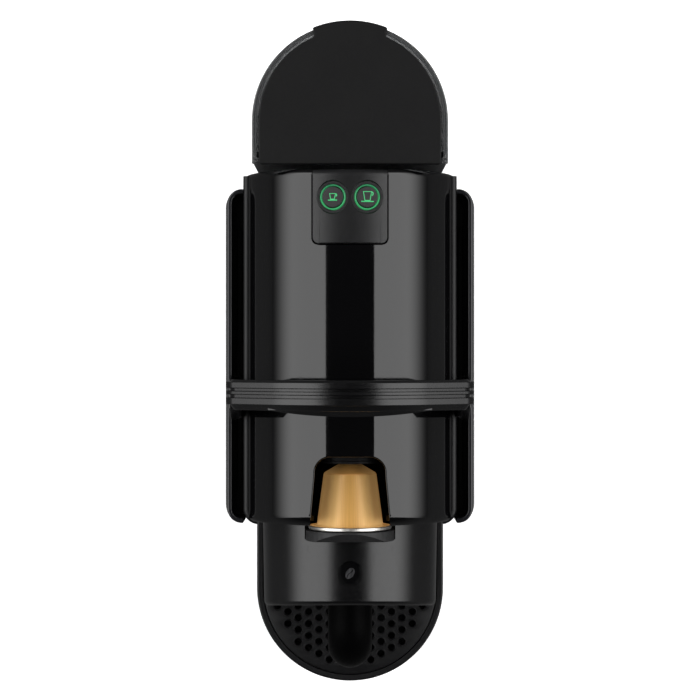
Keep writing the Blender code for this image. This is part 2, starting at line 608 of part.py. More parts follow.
def make_carriage(parent):
    """Slides on the frame's shelf. Its roof closes the capsule opening from inside the casing."""
    pin_y = PIVOT_Y + CRANK_RADIUS * math.sin(CRANK_ANGLE)
    ear_rear = pin_y + 0.0062
    carriage = prism("roof", AXIS_Y, -0.033, ear_rear, arch_band(CARRIAGE_ROOF, CARRIAGE_TOP, 34.5))
    yoke = box("yoke", (-EAR_OUTER_X, -0.0017, 0.1792), (EAR_OUTER_X, 0.0013, 0.2098))
    ears = [box(f"ear_{side}", (min(side * EAR_INNER_X, side * EAR_OUTER_X), -0.001, 0.192),
                (max(side * EAR_INNER_X, side * EAR_OUTER_X), ear_rear, 0.2105)) for side in (-1, 1)]
    crown = prism("yoke_crown", AXIS_Y, -0.0017, 0.0013, arch_band(0.0345, CARRIAGE_TOP - 0.001, 33))
    join(carriage, yoke, *ears, crown)
    slot_low, slot_high = 0.1974, 0.2075
    slot = prism("pin_slot", AXIS_X, -0.03, 0.03,
                 rounded_rectangle((pin_y - 0.0028, slot_low), (pin_y + 0.0028, slot_high), 0.0024, 3))
    boss_way = rod("boss_way", (0, -0.01, BREW_Z), (0, 0.01, BREW_Z), BOSS_RADIUS + GAP)
    cut(carriage, slot, boss_way)
    piece(carriage, "carriage", "grey_plastic", parent)


def make_cage(parent):
    cage = rod("cage", (0, CAGE_MOUTH, BREW_Z), (0, CAGE_REAR, BREW_Z), CAGE_RADIUS, sides=28)
    join(cage, rod("cage_boss", (0, CAGE_REAR - 0.001, BREW_Z), (0, BOSS_REAR, BREW_Z), BOSS_RADIUS,
                   sides=20))
    cut(cage, rod("cage_bore", (0, CAGE_MOUTH - 0.01, BREW_Z), (0, CAGE_BACK, BREW_Z), CAGE_BORE,
                  sides=28))
    cut(cage, rod("cage_inlet", (0, CAGE_BACK - 0.01, BREW_Z), (0, BOSS_REAR + 0.01, BREW_Z), 0.002,
                  sides=16))
    piece(cage, "brew_cage", "grey_plastic", parent)
    plate_front = CAGE_BACK - GAP - 0.0008
    blades = rod("blades", (0, plate_front, BREW_Z), (0, CAGE_BACK - GAP, BREW_Z), 0.009, sides=20)
    for number in range(3):
        turn = math.radians(90 + 120 * number)
        x, z = 0.0052 * math.cos(turn), BREW_Z + 0.0052 * math.sin(turn)
        join(blades, rod(f"blade_{number}", (x, plate_front + 0.0004, z), (x, -0.0091, z), 0.0016,
                         0.0002, 8))
    cut(blades, rod("blade_inlet", (0, -0.02, BREW_Z), (0, 0, BREW_Z), 0.002, sides=16))
    piece(blades, "piercing_blades", "steel", parent)
    seal_rear = CAGE_MOUTH - GAP
    seal = turned("seal", [(CAGE_RADIUS, 0), (CAGE_RADIUS, -0.001), (CAGE_BORE + 0.0002, -0.001),
                           (CAGE_BORE + 0.0002, 0)],
                  (0, seal_rear, BREW_Z), AXIS_Y, 28)
    piece(seal, "cage_seal", "silicone", parent)


def make_capsule(parent):
    front, flange_rear, rear = CAPSULE_FLANGE_FRONT, CAPSULE_FLANGE_REAR, CAPSULE_REAR
    wall = 0.0006
    profile = [(0.0, rear), (0.0048, rear), (0.0082, rear - 0.0013), (0.0108, rear - 0.0032),
               (0.0119, rear - 0.0050), (0.0150, flange_rear), (CAPSULE_FLANGE_RADIUS, flange_rear),
               (CAPSULE_FLANGE_RADIUS, front), (0.0150 - wall, front), (0.0119 - wall, rear - 0.0054),
               (0.0104, rear - 0.0038), (0.0080, rear - 0.0019), (0.0046, rear - wall),
               (0.0, rear - wall)]
    body = turned("capsule", profile, (0, 0, BREW_Z), AXIS_Y, 28)
    piece(body, "capsule_body", "gold_aluminium", parent)
    foil = rod("foil", (0, front - 2 * GAP, BREW_Z), (0, front - GAP, BREW_Z), 0.0178, sides=28)
    piece(foil, "capsule_foil", "foil", parent)


# ---------------------------------------------------------------- lever and cranks
def bar_arch(lift, sweep=ARCH_SWEEP, steps=10):
    """The crown of the arched bar across Y, from right to left, moved out by a distance."""
    return arc((0, BAR_TOP - ARM_OUTER_X), ARM_OUTER_X + lift, 90 - sweep, 90 + sweep, steps)


def bar_outline():
    """The whole bar across Y: its crown, straight slopes, rounded shoulders and arched underside."""
    crown = bar_arch(0.0)
    lean = math.radians(ARCH_SWEEP)
    shoulder_x = ARM_OUTER_X - SHOULDER_RADIUS
    slope = (shoulder_x + SHOULDER_RADIUS * math.sin(lean) - crown[0][0]) * math.tan(lean)
    shoulder_z = crown[0][1] - slope - SHOULDER_RADIUS * math.cos(lean)
    right = [(ARM_INNER_X, shoulder_z - 0.002), (ARM_OUTER_X, shoulder_z - 0.002)]
    right += arc((shoulder_x, shoulder_z), SHOULDER_RADIUS, 0, 90 - ARCH_SWEEP, 3)
    under = arc((UNDERSIDE_FLAT, BAR_BOTTOM - UNDERSIDE_RADIUS), UNDERSIDE_RADIUS, 39, 90, 6)
    left = [(-x, z) for x, z in reversed(right)]
    return right + crown + left + [(-x, z) for x, z in under] + list(reversed(under)), shoulder_z


def make_lever(parent):
    bar_front, bar_rear = BAR_Y - BAR_THICKNESS / 2, BAR_Y + BAR_THICKNESS / 2
    outline, shoulder_z = bar_outline()
    bar = soften(prism("bar", AXIS_Y, bar_front, bar_rear, outline), 0.0014)
    hub_y = PIVOT_Y - HUB_OFFSET
    arm = ([(bar_rear - 0.001, shoulder_z), (bar_front + 0.001, shoulder_z), (bar_front, shoulder_z - 0.002),
            (hub_y - HUB_RADIUS, 0.217)]
           + arc((hub_y, PIVOT_Z), HUB_RADIUS, 180, 360, 12)
           + [(hub_y + HUB_RADIUS, 0.217), (bar_rear, shoulder_z - 0.002)])
    for side in (-1, 1):
        low, high = sorted((side * ARM_INNER_X, side * (ARM_OUTER_X - 0.00002)))
        join(bar, prism(f"arm_{side}", AXIS_X, low, high, arm))
    steps = [i / 7 for i in range(-6, 7)]
    bulge = [(-PUSHER_HALF_WIDTH, bar_front + 0.002)]
    bulge += [(PUSHER_HALF_WIDTH * s, bar_front - PUSHER_DEPTH * (1 - s * s)) for s in steps]
    bulge += [(PUSHER_HALF_WIDTH, bar_front + 0.002)]
    pusher = prism("pusher", AXIS_Z, BAR_BOTTOM + 0.0012, BAR_TOP, bulge)
    under_crown = bar_arch(-0.0015)
    keep_inside(pusher, prism("pusher_top", AXIS_Y, bar_front - 0.01, bar_rear,
                              [(-PUSHER_HALF_WIDTH, 0.24), (PUSHER_HALF_WIDTH, 0.24)] + under_crown))
    join(bar, pusher)
    for number in (-1, 0, 1):
        rib_y = BAR_Y + number * 0.0034
        rib = bar_arch(0.0006, 35, 8) + list(reversed(bar_arch(-0.001, 35, 8)))
        join(bar, prism(f"rib_{number}", AXIS_Y, rib_y - 0.0006, rib_y + 0.0006, rib))
    bore = rod("hub_bore", (-0.06, PIVOT_Y, PIVOT_Z), (0.06, PIVOT_Y, PIVOT_Z), AXLE_RADIUS + GAP)
    piece(cut(bar, bore), "lever", "satin_black", parent)


def make_crank(name, side, parent):
    """A stub axle, its crank arm and the pin that drives the carriage."""
    pin_y = PIVOT_Y + CRANK_RADIUS * math.sin(CRANK_ANGLE)
    pin_z = PIVOT_Z + CRANK_RADIUS * math.cos(CRANK_ANGLE)
    axle = rod("axle", (side * (CRANK_INNER_X + 0.0005), PIVOT_Y, PIVOT_Z),
               (side * (ARM_OUTER_X - 0.0005), PIVOT_Y, PIVOT_Z), AXLE_RADIUS)
    web = prism("crank_web", AXIS_X, *sorted((side * CRANK_INNER_X, side * CRANK_OUTER_X)),
                pivot_hull(pin_y, pin_z, 0.0075, 0.0042))
    pin = rod("crank_pin", (side * 0.0212, pin_y, pin_z), (side * 0.0265, pin_y, pin_z), PIN_RADIUS,
              sides=20)
    piece(join(axle, web, pin), name, "steel", parent)


# ---------------------------------------------------------------- controls
def panel_outline(margin):
    half, front = PANEL_HALF_WIDTH + margin, PANEL_FRONT - margin
    radius, rear = PANEL_CORNER, BARREL_REAR - GAP + 10 * margin
    return [(half, rear), (-half, rear)] + arc((-half + radius, front + radius), radius, 180, 270, 4) \
        + arc((half - radius, front + radius), radius, 270, 360, 4)


def on_button_axis(side, radius):
    """A point on a button's axis, which meets the barrel's surface square."""
    return (side * radius * math.sin(BUTTON_TILT), BUTTON_Y,
            BARREL_AXIS_Z + radius * math.cos(BUTTON_TILT))


def button_rod(name, side, low, high, radius, sides=20):
    return rod(name, on_button_axis(side, low), on_button_axis(side, high), radius, sides=sides)


def make_control_panel():
    panel = prism("inlay", AXIS_Y, PANEL_FRONT - 0.001, BARREL_REAR + 0.001,
                  arch_band(0.0463, BARREL_RADIUS, 25))
    keep_inside(panel, prism("inlay_plan", AXIS_Z, 0.20, 0.23, panel_outline(0)))
    for side in (-1, 1):
        cut(panel, button_rod(f"recess_{side}", side, 0.0476, 0.0520, RECESS_RADIUS),
            button_rod(f"ring_way_{side}", side, 0.0400, 0.0520, RING_OUTER + GAP))
    piece(panel, "control_panel", "satin_black")


def make_button(name, side, parent):
    cap = button_rod("cap", side, 0.0420, 0.0481, BUTTON_RADIUS)
    join(cap, button_rod("stem", side, 0.0403, 0.0425, 0.0025, 16))
    piece(soften(cap, 0.0003, 1), "button_" + name, "matte_black", parent)
    ring = cut(button_rod("ring", side, 0.0445, 0.0479, RING_OUTER),
               button_rod("ring_bore", side, 0.0400, 0.0520, RING_INNER))
    piece(ring, "light_ring_" + name, "green_light")


def make_switch_board():
    board = box("board", (-0.0155, 0.067, 0.2060), (0.0155, 0.0895, 0.2076))
    for side in (-1, 1):
        x = side * 0.0063
        join(board, rod("switch", (x, BUTTON_Y, 0.2070), (x, BUTTON_Y, 0.2110), 0.0024, sides=16))
    piece(board, "switch_board", "board_green")


# ---------------------------------------------------------------- tank
def make_tank(parent):
    tank = prism("tank", AXIS_Z, TANK_BOTTOM, TANK_TOP,
                 d_shape(TANK_RADIUS, TANK_CENTRE_Y, TANK_FRONT, 1, 20))
    join(tank, rod("outlet", (0, VALVE_Y, 0.0235), (0, VALVE_Y, TANK_BOTTOM + 0.001), 0.0070))
    cut(tank, prism("tank_hollow", AXIS_Z, TANK_BOTTOM + 0.0025, TANK_TOP + 0.01,
                    d_shape(TANK_RADIUS - TANK_WALL, TANK_CENTRE_Y, TANK_FRONT + TANK_WALL, 1, 20)))
    cut(tank, rod("outlet_bore", (0, VALVE_Y, 0.01), (0, VALVE_Y, 0.05), 0.0045))
    lid_way = box("lid_way", (-0.0412, 0.090, 0.203), (0.0412, 0.1002, 0.220))
    pins = rod("lid_pin_holes", (-0.05, LID_PIN_Y, LID_PIN_Z), (0.05, LID_PIN_Y, LID_PIN_Z),
               LID_PIN_RADIUS + GAP, sides=16)
    cut(tank, lid_way, pins)
    piece(tank, "water_tank", "smoked_clear", parent)


def make_lid(parent):
    lid = prism("lid", AXIS_Z, LID_BOTTOM, LID_TOP,
                d_shape(LID_RADIUS, TANK_CENTRE_Y, LID_FRONT, 1, 20))
    lip_tip = TANK_CENTRE_Y + LID_LIP_RADIUS
    lip = prism("lip", AXIS_Z, TANK_TOP + GAP, LID_TOP - 0.0002,
                d_shape(LID_LIP_RADIUS, TANK_CENTRE_Y, TANK_CENTRE_Y, 1, 30))
    keep_inside(lip, box("lip_keep", (-LID_LIP_HALF_WIDTH, 0.135, 0.20), (LID_LIP_HALF_WIDTH,
                                                                       lip_tip + 0.01, 0.22)))
    join(lid, lip)
    for side in (-1, 1):
        join(lid, rod("lid_pin", (side * 0.0385, LID_PIN_Y, LID_PIN_Z),
                      (side * 0.0432, LID_PIN_Y, LID_PIN_Z), LID_PIN_RADIUS, sides=16))
        inner, outer = sorted((side * 0.037, side * 0.0400))
        join(lid, box("lid_lug", (inner, LID_PIN_Y - 0.002, LID_PIN_Z - 0.002),
                      (outer, LID_PIN_Y + 0.002, LID_BOTTOM + 0.001)))
    piece(lid, "tank_lid", "lid_black", parent)


def make_tank_filter(parent):
    """The basket in the tank's floor that guides the valve."""
    basket = turned("basket", [(0.0105, 0.0532), (0.0105, 0.0348), (0.0090, 0.0348), (0.0090, 0.0514),
                               (0.0024, 0.0514), (0.0024, 0.0532)], (0, VALVE_Y, 0), AXIS_Z, 16)
    for turn in (0, 90):
        a = math.radians(turn)
        reach = Vector((math.cos(a), math.sin(a), 0)) * 0.02
        middle = Vector((0, VALVE_Y, 0.0435))
        cut(basket, rod(f"basket_window_{turn}", middle - reach, middle + reach, 0.0036, sides=8))
    piece(basket, "tank_filter", "white_plastic", parent)


def make_valve(parent):
    valve = rod("valve", (0, VALVE_Y, 0.0348), (0, VALVE_Y, 0.0368), 0.0072, sides=20)
    join(valve, rod("valve_stem", (0, VALVE_Y, 0.0275), (0, VALVE_Y, 0.0575), 0.0020, sides=16))
    piece(valve, "tank_valve", "white_plastic", parent)


def coil(name, x, y, low, high, radius, turns, wire, per_turn=8):
    count = turns * per_turn
    points = [(x + radius * math.cos(2 * math.pi * i / per_turn),
               y + radius * math.sin(2 * math.pi * i / per_turn),
               low + wire + (high - low - 2 * wire) * i / count) for i in range(count + 1)]
    return tube(name, points, wire, 1)


def make_socket():
    well_floor, rim, nipple_z = 0.0180, 0.0268, 0.0125
    socket = turned("socket", [(0.0, well_floor), (0.0074, well_floor), (0.0074, rim), (0.0117, rim),
                               (0.0117, BASE_FLOOR + GAP), (0.0, BASE_FLOOR + GAP)],
                    (0, VALVE_Y, 0), AXIS_Z, 20)
    join(socket, rod("nipple", (0, VALVE_Y - 0.0100, nipple_z), (0, VALVE_Y - 0.0185, nipple_z),
                     HOSE_RADIUS, sides=16))
    join(socket, box("valve_pin_bridge", (-0.0080, VALVE_Y - 0.0010, 0.0215),
                     (0.0080, VALVE_Y + 0.0010, 0.0230)))
    cut(socket, rod("nipple_bore", (0, VALVE_Y - 0.001, nipple_z), (0, VALVE_Y - 0.03, nipple_z), 0.0014,
                    sides=12))
    cut(socket, rod("well_drain", (0, VALVE_Y - 0.003, nipple_z), (0, VALVE_Y - 0.003, 0.0200), 0.0014,
                    sides=12))
    piece(socket, "tank_socket", "grey_plastic")
    seal = turned("socket_seal", [(0.0116, 0.0289), (0.0116, 0.0271), (0.0074, 0.0271),
                                  (0.0074, 0.0289)], (0, VALVE_Y, 0), AXIS_Z, 20)
    piece(seal, "socket_seal", "silicone")


# ---------------------------------------------------------------- drip tray, grid and container
def make_drip_tray(parent):
    tray = prism("tray", AXIS_Z, TRAY_BOTTOM, TRAY_TOP,
                 d_shape(TRAY_RADIUS, TRAY_CENTRE_Y, TRAY_SHOULDER_Y, -1, 24))
    soften(tray, 0.0015)
    tongue = box("tongue", (-TONGUE_HALF_WIDTH, TRAY_SHOULDER_Y - 0.01, TRAY_BOTTOM),
                 (TONGUE_HALF_WIDTH, TONGUE_REAR, TRAY_TOP - 0.0002))
    join(tray, tongue)
    inner = TRAY_RADIUS - TRAY_RIM
    seat = prism("grid_seat", AXIS_Z, TRAY_TOP - GRID_THICKNESS - GAP, TRAY_TOP + 0.01,
                 d_shape(inner, TRAY_CENTRE_Y, TRAY_SHOULDER_Y - TRAY_RIM, -1, 24))
    basin = prism("basin", AXIS_Z, TRAY_BOTTOM + 0.0025, TRAY_TOP + 0.01,
                  d_shape(inner - 0.0012, TRAY_CENTRE_Y, TRAY_SHOULDER_Y - TRAY_RIM, -1, 24))
    well = box("well", (-TONGUE_HALF_WIDTH + 0.0025, -0.075, TRAY_BOTTOM + 0.0025),
               (TONGUE_HALF_WIDTH - 0.0025, TONGUE_REAR - 0.0025, TRAY_TOP + 0.01))
    cut(tray, seat, basin, well)
    piece(tray, "drip_tray", "satin_black", parent)


def grid_holes():
    holes = []
    for column in range(-7, 8):
        shift = 0.5 * (column % 2)
        for row in range(-8, 9):
            x, y = column * HOLE_PITCH_X, TRAY_CENTRE_Y + (row + shift) * HOLE_PITCH_Y
            if math.hypot(x, y - TRAY_CENTRE_Y) < HOLE_FIELD and y < GRID_REAR - 0.004:
                holes.append(arc((x, y), HOLE_RADIUS, 0, 300, 5))
    return holes


def make_drip_grid(parent):
    radius = TRAY_RADIUS - TRAY_RIM - GAP
    outline = d_shape(radius, TRAY_CENTRE_Y, GRID_REAR, -1, 24)
    grid = prism("grid", AXIS_Z, TRAY_TOP - GRID_THICKNESS, TRAY_TOP, outline, *grid_holes())
    piece(grid, "drip_grid", "satin_black", parent)


def make_capsule_container(parent):
    low, high = (-BIN_HALF_WIDTH, BIN_FRONT), (BIN_HALF_WIDTH, BIN_REAR)
    wall = 0.002
    bin_bottom = TRAY_TOP + GAP
    container = prism("bin", AXIS_Z, bin_bottom, BIN_TOP, rounded_rectangle(low, high, 0.006))
    cut(container, prism("bin_hollow", AXIS_Z, bin_bottom + wall, BIN_TOP + 0.01,
                         rounded_rectangle((low[0] + wall, low[1] + wall),
                                           (high[0] - wall, high[1] - wall), 0.004)))
    ledge = box("bin_ledge", (-0.0432, -0.060, bin_bottom), (0.0432, -0.012, bin_bottom + 0.002))
    cut(ledge, box("bin_ledge_gap", (-0.0360, -0.061, 0.04), (0.0360, -0.011, 0.05)))
    join(container, ledge)
    piece(container, "capsule_container", "matte_black", parent)


# ---------------------------------------------------------------- water system and electronics
def make_pump(parent):
    at = (PUMP_X, PUMP_Y, 0)
    low, high = 0.080, 0.137
    body = turned("pump", [(PUMP_TUBE_RADIUS, PUMP_TOP), (PUMP_TUBE_RADIUS, PUMP_BOTTOM),
                           (0.002, PUMP_BOTTOM), (0.002, low), (PUMP_BORE, low), (PUMP_BORE, high),
                           (0.002, high), (0.002, PUMP_TOP)], at, AXIS_Z, 16)
    piece(body, "pump_tube", "steel")
    coil_block = soften(box("coil_block", (PUMP_X - 0.019, PUMP_Y - 0.017, 0.085),
                            (PUMP_X + 0.019, PUMP_Y + 0.017, 0.123)), 0.002)
    cut(coil_block, rod("coil_bore", (PUMP_X, PUMP_Y, 0.07), (PUMP_X, PUMP_Y, 0.14),
                        PUMP_TUBE_RADIUS + GAP, sides=20))
    piece(coil_block, "pump_coil", "copper")
    for name, bottom in (("lower", 0.0600), ("upper", 0.1370)):
        mount = turned("mount", [(0.0145, bottom + 0.007), (0.0145, bottom),
                                 (PUMP_TUBE_RADIUS + GAP, bottom), (PUMP_TUBE_RADIUS + GAP,
                                                                    bottom + 0.007)], at, AXIS_Z, 16)
        piece(mount, "pump_mount_" + name, "rubber")
    plunger = turned("plunger", [(0.0058, 0.1130), (0.0058, 0.0850), (0.0016, 0.0850), (0.0016, 0.1130)],
                     at, AXIS_Z, 16)
    piece(plunger, "pump_plunger", "steel", parent)
    spring = coil("pump_spring", PUMP_X, PUMP_Y, 0.1134, 0.1366, 0.0044, 5, 0.0006)
    piece(spring, "pump_spring", "steel", parent)


def make_flow_meter(parent):
    bottom, top = BASE_FLOOR + GAP, METER_TOP
    at = (METER_X, METER_Y, 0)
    inner = METER_RADIUS - 0.0024
    body = turned("meter", [(0.0, top), (METER_RADIUS, top), (METER_RADIUS, bottom), (0.0, bottom)],
                  at, AXIS_Z, 20)
    stubs = [rod("inlet_stub", (METER_X, METER_Y + METER_RADIUS - 0.001, 0.0165),
                 (METER_X, METER_Y + 0.0198, 0.0165), HOSE_RADIUS, sides=16),
             rod("outlet_stub", (METER_X - METER_RADIUS + 0.001, METER_Y, 0.0165),
                 (METER_X - 0.0198, METER_Y, 0.0165), HOSE_RADIUS, sides=16)]
    join(body, *stubs)
    chamber = turned("chamber", [(0.0012, top - 0.003), (inner, top - 0.003), (inner, bottom + 0.0025),
                                 (0.0012, bottom + 0.0025)], at, AXIS_Z, 20)
    ways = [rod("inlet_way_meter", (METER_X, METER_Y + 0.008, 0.0165), (METER_X, METER_Y + 0.03, 0.0165),
                0.0014, sides=12),
            rod("outlet_way_meter", (METER_X - 0.008, METER_Y, 0.0165),
                (METER_X - 0.03, METER_Y, 0.0165), 0.0014, sides=12)]
    piece(cut(body, chamber, *ways), "flow_meter", "white_plastic")
    rotor_low, rotor_high = bottom + 0.003, top - 0.0035
    rotor = rod("rotor", (METER_X, METER_Y, rotor_low), (METER_X, METER_Y, rotor_high), 0.0035, sides=16)
    for turn in (0, 90):
        reach = (0.0118, 0.0006) if turn == 0 else (0.0006, 0.0118)
        join(rotor, box(f"vane_{turn}", (METER_X - reach[0], METER_Y - reach[1], rotor_low + 0.0002),
                        (METER_X + reach[0], METER_Y + reach[1], rotor_high - 0.0002)))
    cut(rotor, rod("rotor_bore", (METER_X, METER_Y, 0), (METER_X, METER_Y, 0.04), 0.0015, sides=12))
    piece(rotor, "flow_rotor", "grey_plastic", parent)


def make_thermoblock():
    block = soften(box("block", (-0.030, BLOCK_FRONT, BLOCK_BOTTOM), (0.030, BLOCK_REAR, BLOCK_TOP)),
                   0.004)
    for x in (-0.015, 0.015):
        join(block, rod("block_stub", (x, 0.032, BLOCK_TOP - 0.002), (x, 0.032, 0.1645), 0.004, sides=16))
    piece(block, "thermoblock", "cast_aluminium")
    thermostat = rod("thermostat", (0, BLOCK_REAR + GAP, 0.135), (0, BLOCK_REAR + 0.0055, 0.135), 0.008,
                     sides=20)
    piece(thermostat, "thermostat", "white_plastic")


def make_hose(name, *points):
    piece(tube("hose", points, HOSE_RADIUS), name, "silicone")


def make_hoses():
    socket_end = VALVE_Y - 0.0185 - GAP
    make_hose("supply_hose", (0, socket_end, 0.0125), (0, 0.0955, 0.0127), (0.004, 0.0925, 0.0132),
              (0.013, 0.0918, 0.0148), (0.021, 0.0912, 0.0162), (0.0248, 0.0895, 0.0165),
              (METER_X, METER_Y + 0.0198 + GAP, 0.0165))
    make_hose("suction_hose", (METER_X - 0.0198 - GAP, METER_Y, 0.0165), (-0.006, METER_Y, 0.0165),
              (-0.0145, METER_Y, 0.0190), (-0.0190, METER_Y, 0.0250),
              (PUMP_X, METER_Y, 0.033), (PUMP_X, METER_Y, PUMP_BOTTOM - GAP))
    make_hose("pressure_hose", (PUMP_X, PUMP_Y, PUMP_TOP + GAP), (PUMP_X, PUMP_Y, 0.158),
              (-0.0195, 0.0610, 0.1655), (-0.0180, 0.0520, 0.1700), (-0.0162, 0.0410, 0.1735),
              (-0.0151, 0.0345, 0.1725), (-0.015, 0.032, 0.1700), (-0.015, 0.032, 0.1649))
    make_hose("brew_hose", (0.015, 0.032, 0.1648), (0.015, 0.0330, 0.173), (0.0125, 0.0345, 0.185),
              (0.0065, 0.0350, 0.1945), (0.0012, 0.0325, BREW_Z), (0, 0.0273, BREW_Z))


def make_control_board():
    board = box("main_board", (0.004, 0.0850, 0.085), (0.042, 0.0866, 0.160))
    join(board, box("transformer", (0.010, 0.0700, 0.092), (0.034, 0.0855, 0.114)))
    join(board, box("relay", (0.022, 0.0740, 0.122), (0.038, 0.0855, 0.132)))
    join(board, rod("capacitor", (0.013, 0.0740, 0.128), (0.013, 0.0855, 0.128), 0.005, sides=16))
    piece(board, "control_board", "board_green")


# ---------------------------------------------------------------- assembly
def build_housing():
    make_base()
    make_feet_and_screws()
    make_barrel()
    make_cheek("cheek_left", -1)
    make_cheek("cheek_right", 1)
    make_rear_panel()
    make_cable_gland()
    make_head()
    make_extraction_plate()
    make_spout()
    make_capsule_chute()
    make_brew_frame()
    make_control_panel()
    make_switch_board()
    make_socket()
    make_thermoblock()
    make_hoses()
    make_control_board()


def build_moving_parts():
    lever_pivot = pivot("lever_pivot", (0, PIVOT_Y, PIVOT_Z))
    make_lever(lever_pivot)
    make_crank("crank_left", -1, lever_pivot)
    make_crank("crank_right", 1, lever_pivot)
    carriage_slide = pivot("carriage_slide", (0, CAGE_REAR, BREW_Z))
    make_carriage(carriage_slide)
    make_cage(carriage_slide)
    make_capsule(pivot("capsule_place", (0, CAPSULE_FLANGE_REAR, BREW_Z)))
    for name, side in (("espresso", -1), ("lungo", 1)):
        make_button(name, side, pivot("button_" + name + "_axis", on_button_axis(side, BARREL_RADIUS)))
    tank_seat = pivot("tank_seat", (0, TANK_CENTRE_Y, TANK_BOTTOM))
    make_tank(tank_seat)
    make_lid(pivot("lid_pivot", (0, LID_PIN_Y, LID_PIN_Z), tank_seat))
    make_tank_filter(tank_seat)
    valve_axis = pivot("valve_axis", (0, VALVE_Y, TANK_BOTTOM), tank_seat)
    make_valve(valve_axis)
    piece(coil("valve_spring", 0, VALVE_Y, 0.0371, 0.0511, 0.0040, 4, 0.0005), "valve_spring", "steel",
          valve_axis)
    drawer = pivot("drawer_slide", (0, TRAY_SHOULDER_Y, TRAY_BOTTOM))
    make_drip_tray(drawer)
    make_capsule_container(drawer)
    make_drip_grid(pivot("grid_place", (0, TRAY_CENTRE_Y, TRAY_TOP), drawer))
    make_pump(pivot("plunger_axis", (PUMP_X, PUMP_Y, 0.099)))
    make_flow_meter(pivot("rotor_axis", (METER_X, METER_Y, METER_TOP)))


build_housing()
build_moving_parts()
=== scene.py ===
"""Visual model of the pod coffee machine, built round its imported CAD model, in metres, +Z up.

The front, with the spout, faces -Y. Sizes come from the CAD nodes' boxes and from the named values
below. Every piece rides on the body of the CAD node that it stands for.
"""

from math import acos, asin, cos, degrees, hypot, pi, radians, sin, sqrt, tan

import bmesh
import bpy
from mathutils import Matrix, Vector


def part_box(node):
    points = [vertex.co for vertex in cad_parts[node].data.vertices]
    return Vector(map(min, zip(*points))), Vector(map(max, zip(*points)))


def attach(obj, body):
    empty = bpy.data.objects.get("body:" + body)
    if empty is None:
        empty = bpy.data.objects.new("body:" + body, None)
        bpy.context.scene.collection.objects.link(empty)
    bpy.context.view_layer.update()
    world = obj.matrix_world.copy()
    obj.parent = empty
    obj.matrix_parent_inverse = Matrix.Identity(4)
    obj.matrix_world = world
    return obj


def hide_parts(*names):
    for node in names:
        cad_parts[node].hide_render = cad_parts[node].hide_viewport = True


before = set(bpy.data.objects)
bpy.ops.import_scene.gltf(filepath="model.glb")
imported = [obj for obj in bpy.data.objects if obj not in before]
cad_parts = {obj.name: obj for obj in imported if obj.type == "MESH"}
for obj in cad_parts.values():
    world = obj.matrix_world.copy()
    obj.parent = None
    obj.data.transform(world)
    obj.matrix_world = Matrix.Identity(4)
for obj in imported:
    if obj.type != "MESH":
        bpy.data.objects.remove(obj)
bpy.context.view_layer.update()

AXIS_X, AXIS_Y, AXIS_Z = "X", "Y", "Z"
SIDES = (("left", -1), ("right", 1))
GAP = 0.0003

# Barrel
BARREL_LOW, BARREL_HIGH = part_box("barrel_shell")
BARREL_RADIUS = BARREL_HIGH.x
BARREL_AXIS_Z = BARREL_HIGH.z - BARREL_RADIUS
BARREL_FRONT, BARREL_REAR, BARREL_BOTTOM = BARREL_LOW.y, BARREL_HIGH.y, BARREL_LOW.z
BARREL_WALL, BARREL_SIDE_ROUND, BARREL_CROWN_ROUND, NOSE_ROUND = 0.0025, 0.0016, 0.0038, 0.0066
BARREL_STEPS = 144

# Cheeks
CHEEK_LOW, CHEEK_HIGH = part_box("cheek_right")
CHEEK_INNER_X, CHEEK_BULGE, CHEEK_BULGE_Z = CHEEK_LOW.x, CHEEK_HIGH.x, 0.115
CHEEK_FOOT_HALF_WIDTH, CHEEK_TOP_HALF_WIDTH = 0.056, 0.0559
CHEEK_CORNER, CHEEK_WALL, CHEEK_RIM = 0.0065, 0.0021, 0.0007
GROOVE_FLOOR = 0.166
GROOVE_PADS, PAD_INNER_X, PAD_OUTER_X = ((0.016, 0.0715), (-0.0506, 0.0037)), 0.0502, 0.0528
WELT_X, WELT_Z, WELT_TURN, WELT_HALF_WIDTH, WELT_HALF_HEIGHT = 0.0466, 0.1866, 0.0050, 0.0022, 0.0018

# Head and spout
HEAD_LOW, HEAD_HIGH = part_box("head_cover")
HEAD_RADIUS = HEAD_HIGH.x
HEAD_AXIS_Z, HEAD_SLANT, HEAD_WALL, NOTCH_X, NOTCH_FRONT = 0.156, 0.128, 0.0023, 0.0206, -0.0721
STRIP_FRONT, STRIP_REAR, STRIP_HALF_WIDTH, STRIP_DEPTH = -0.0776, -0.0750, 0.0192, 0.00030
HEAD_TOP_FRONT = HEAD_LOW.y + HEAD_SLANT * (HEAD_HIGH.z - HEAD_LOW.z)
BADGE_LOW, BADGE_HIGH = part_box("head_badge")
BADGE_RADIUS = BADGE_HIGH.x
BEAN_LEAN, BEAN_HALF_LENGTH, BEAN_HALF_WIDTH, BEAN_GAP = -32, 0.0027, 0.0018, 0.00018
BADGE_Y = (BADGE_LOW.y + BADGE_HIGH.y) / 2
SPOUT_RADIUS, SPOUT_BORE, SPOUT_Z, SPOUT_Y = 0.0105, 0.0065, 0.150, -0.128
SPOUT_BEND, SPOUT_LIP, SPOUT_TIP = 0.012, 0.0018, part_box("coffee_spout")[0].z

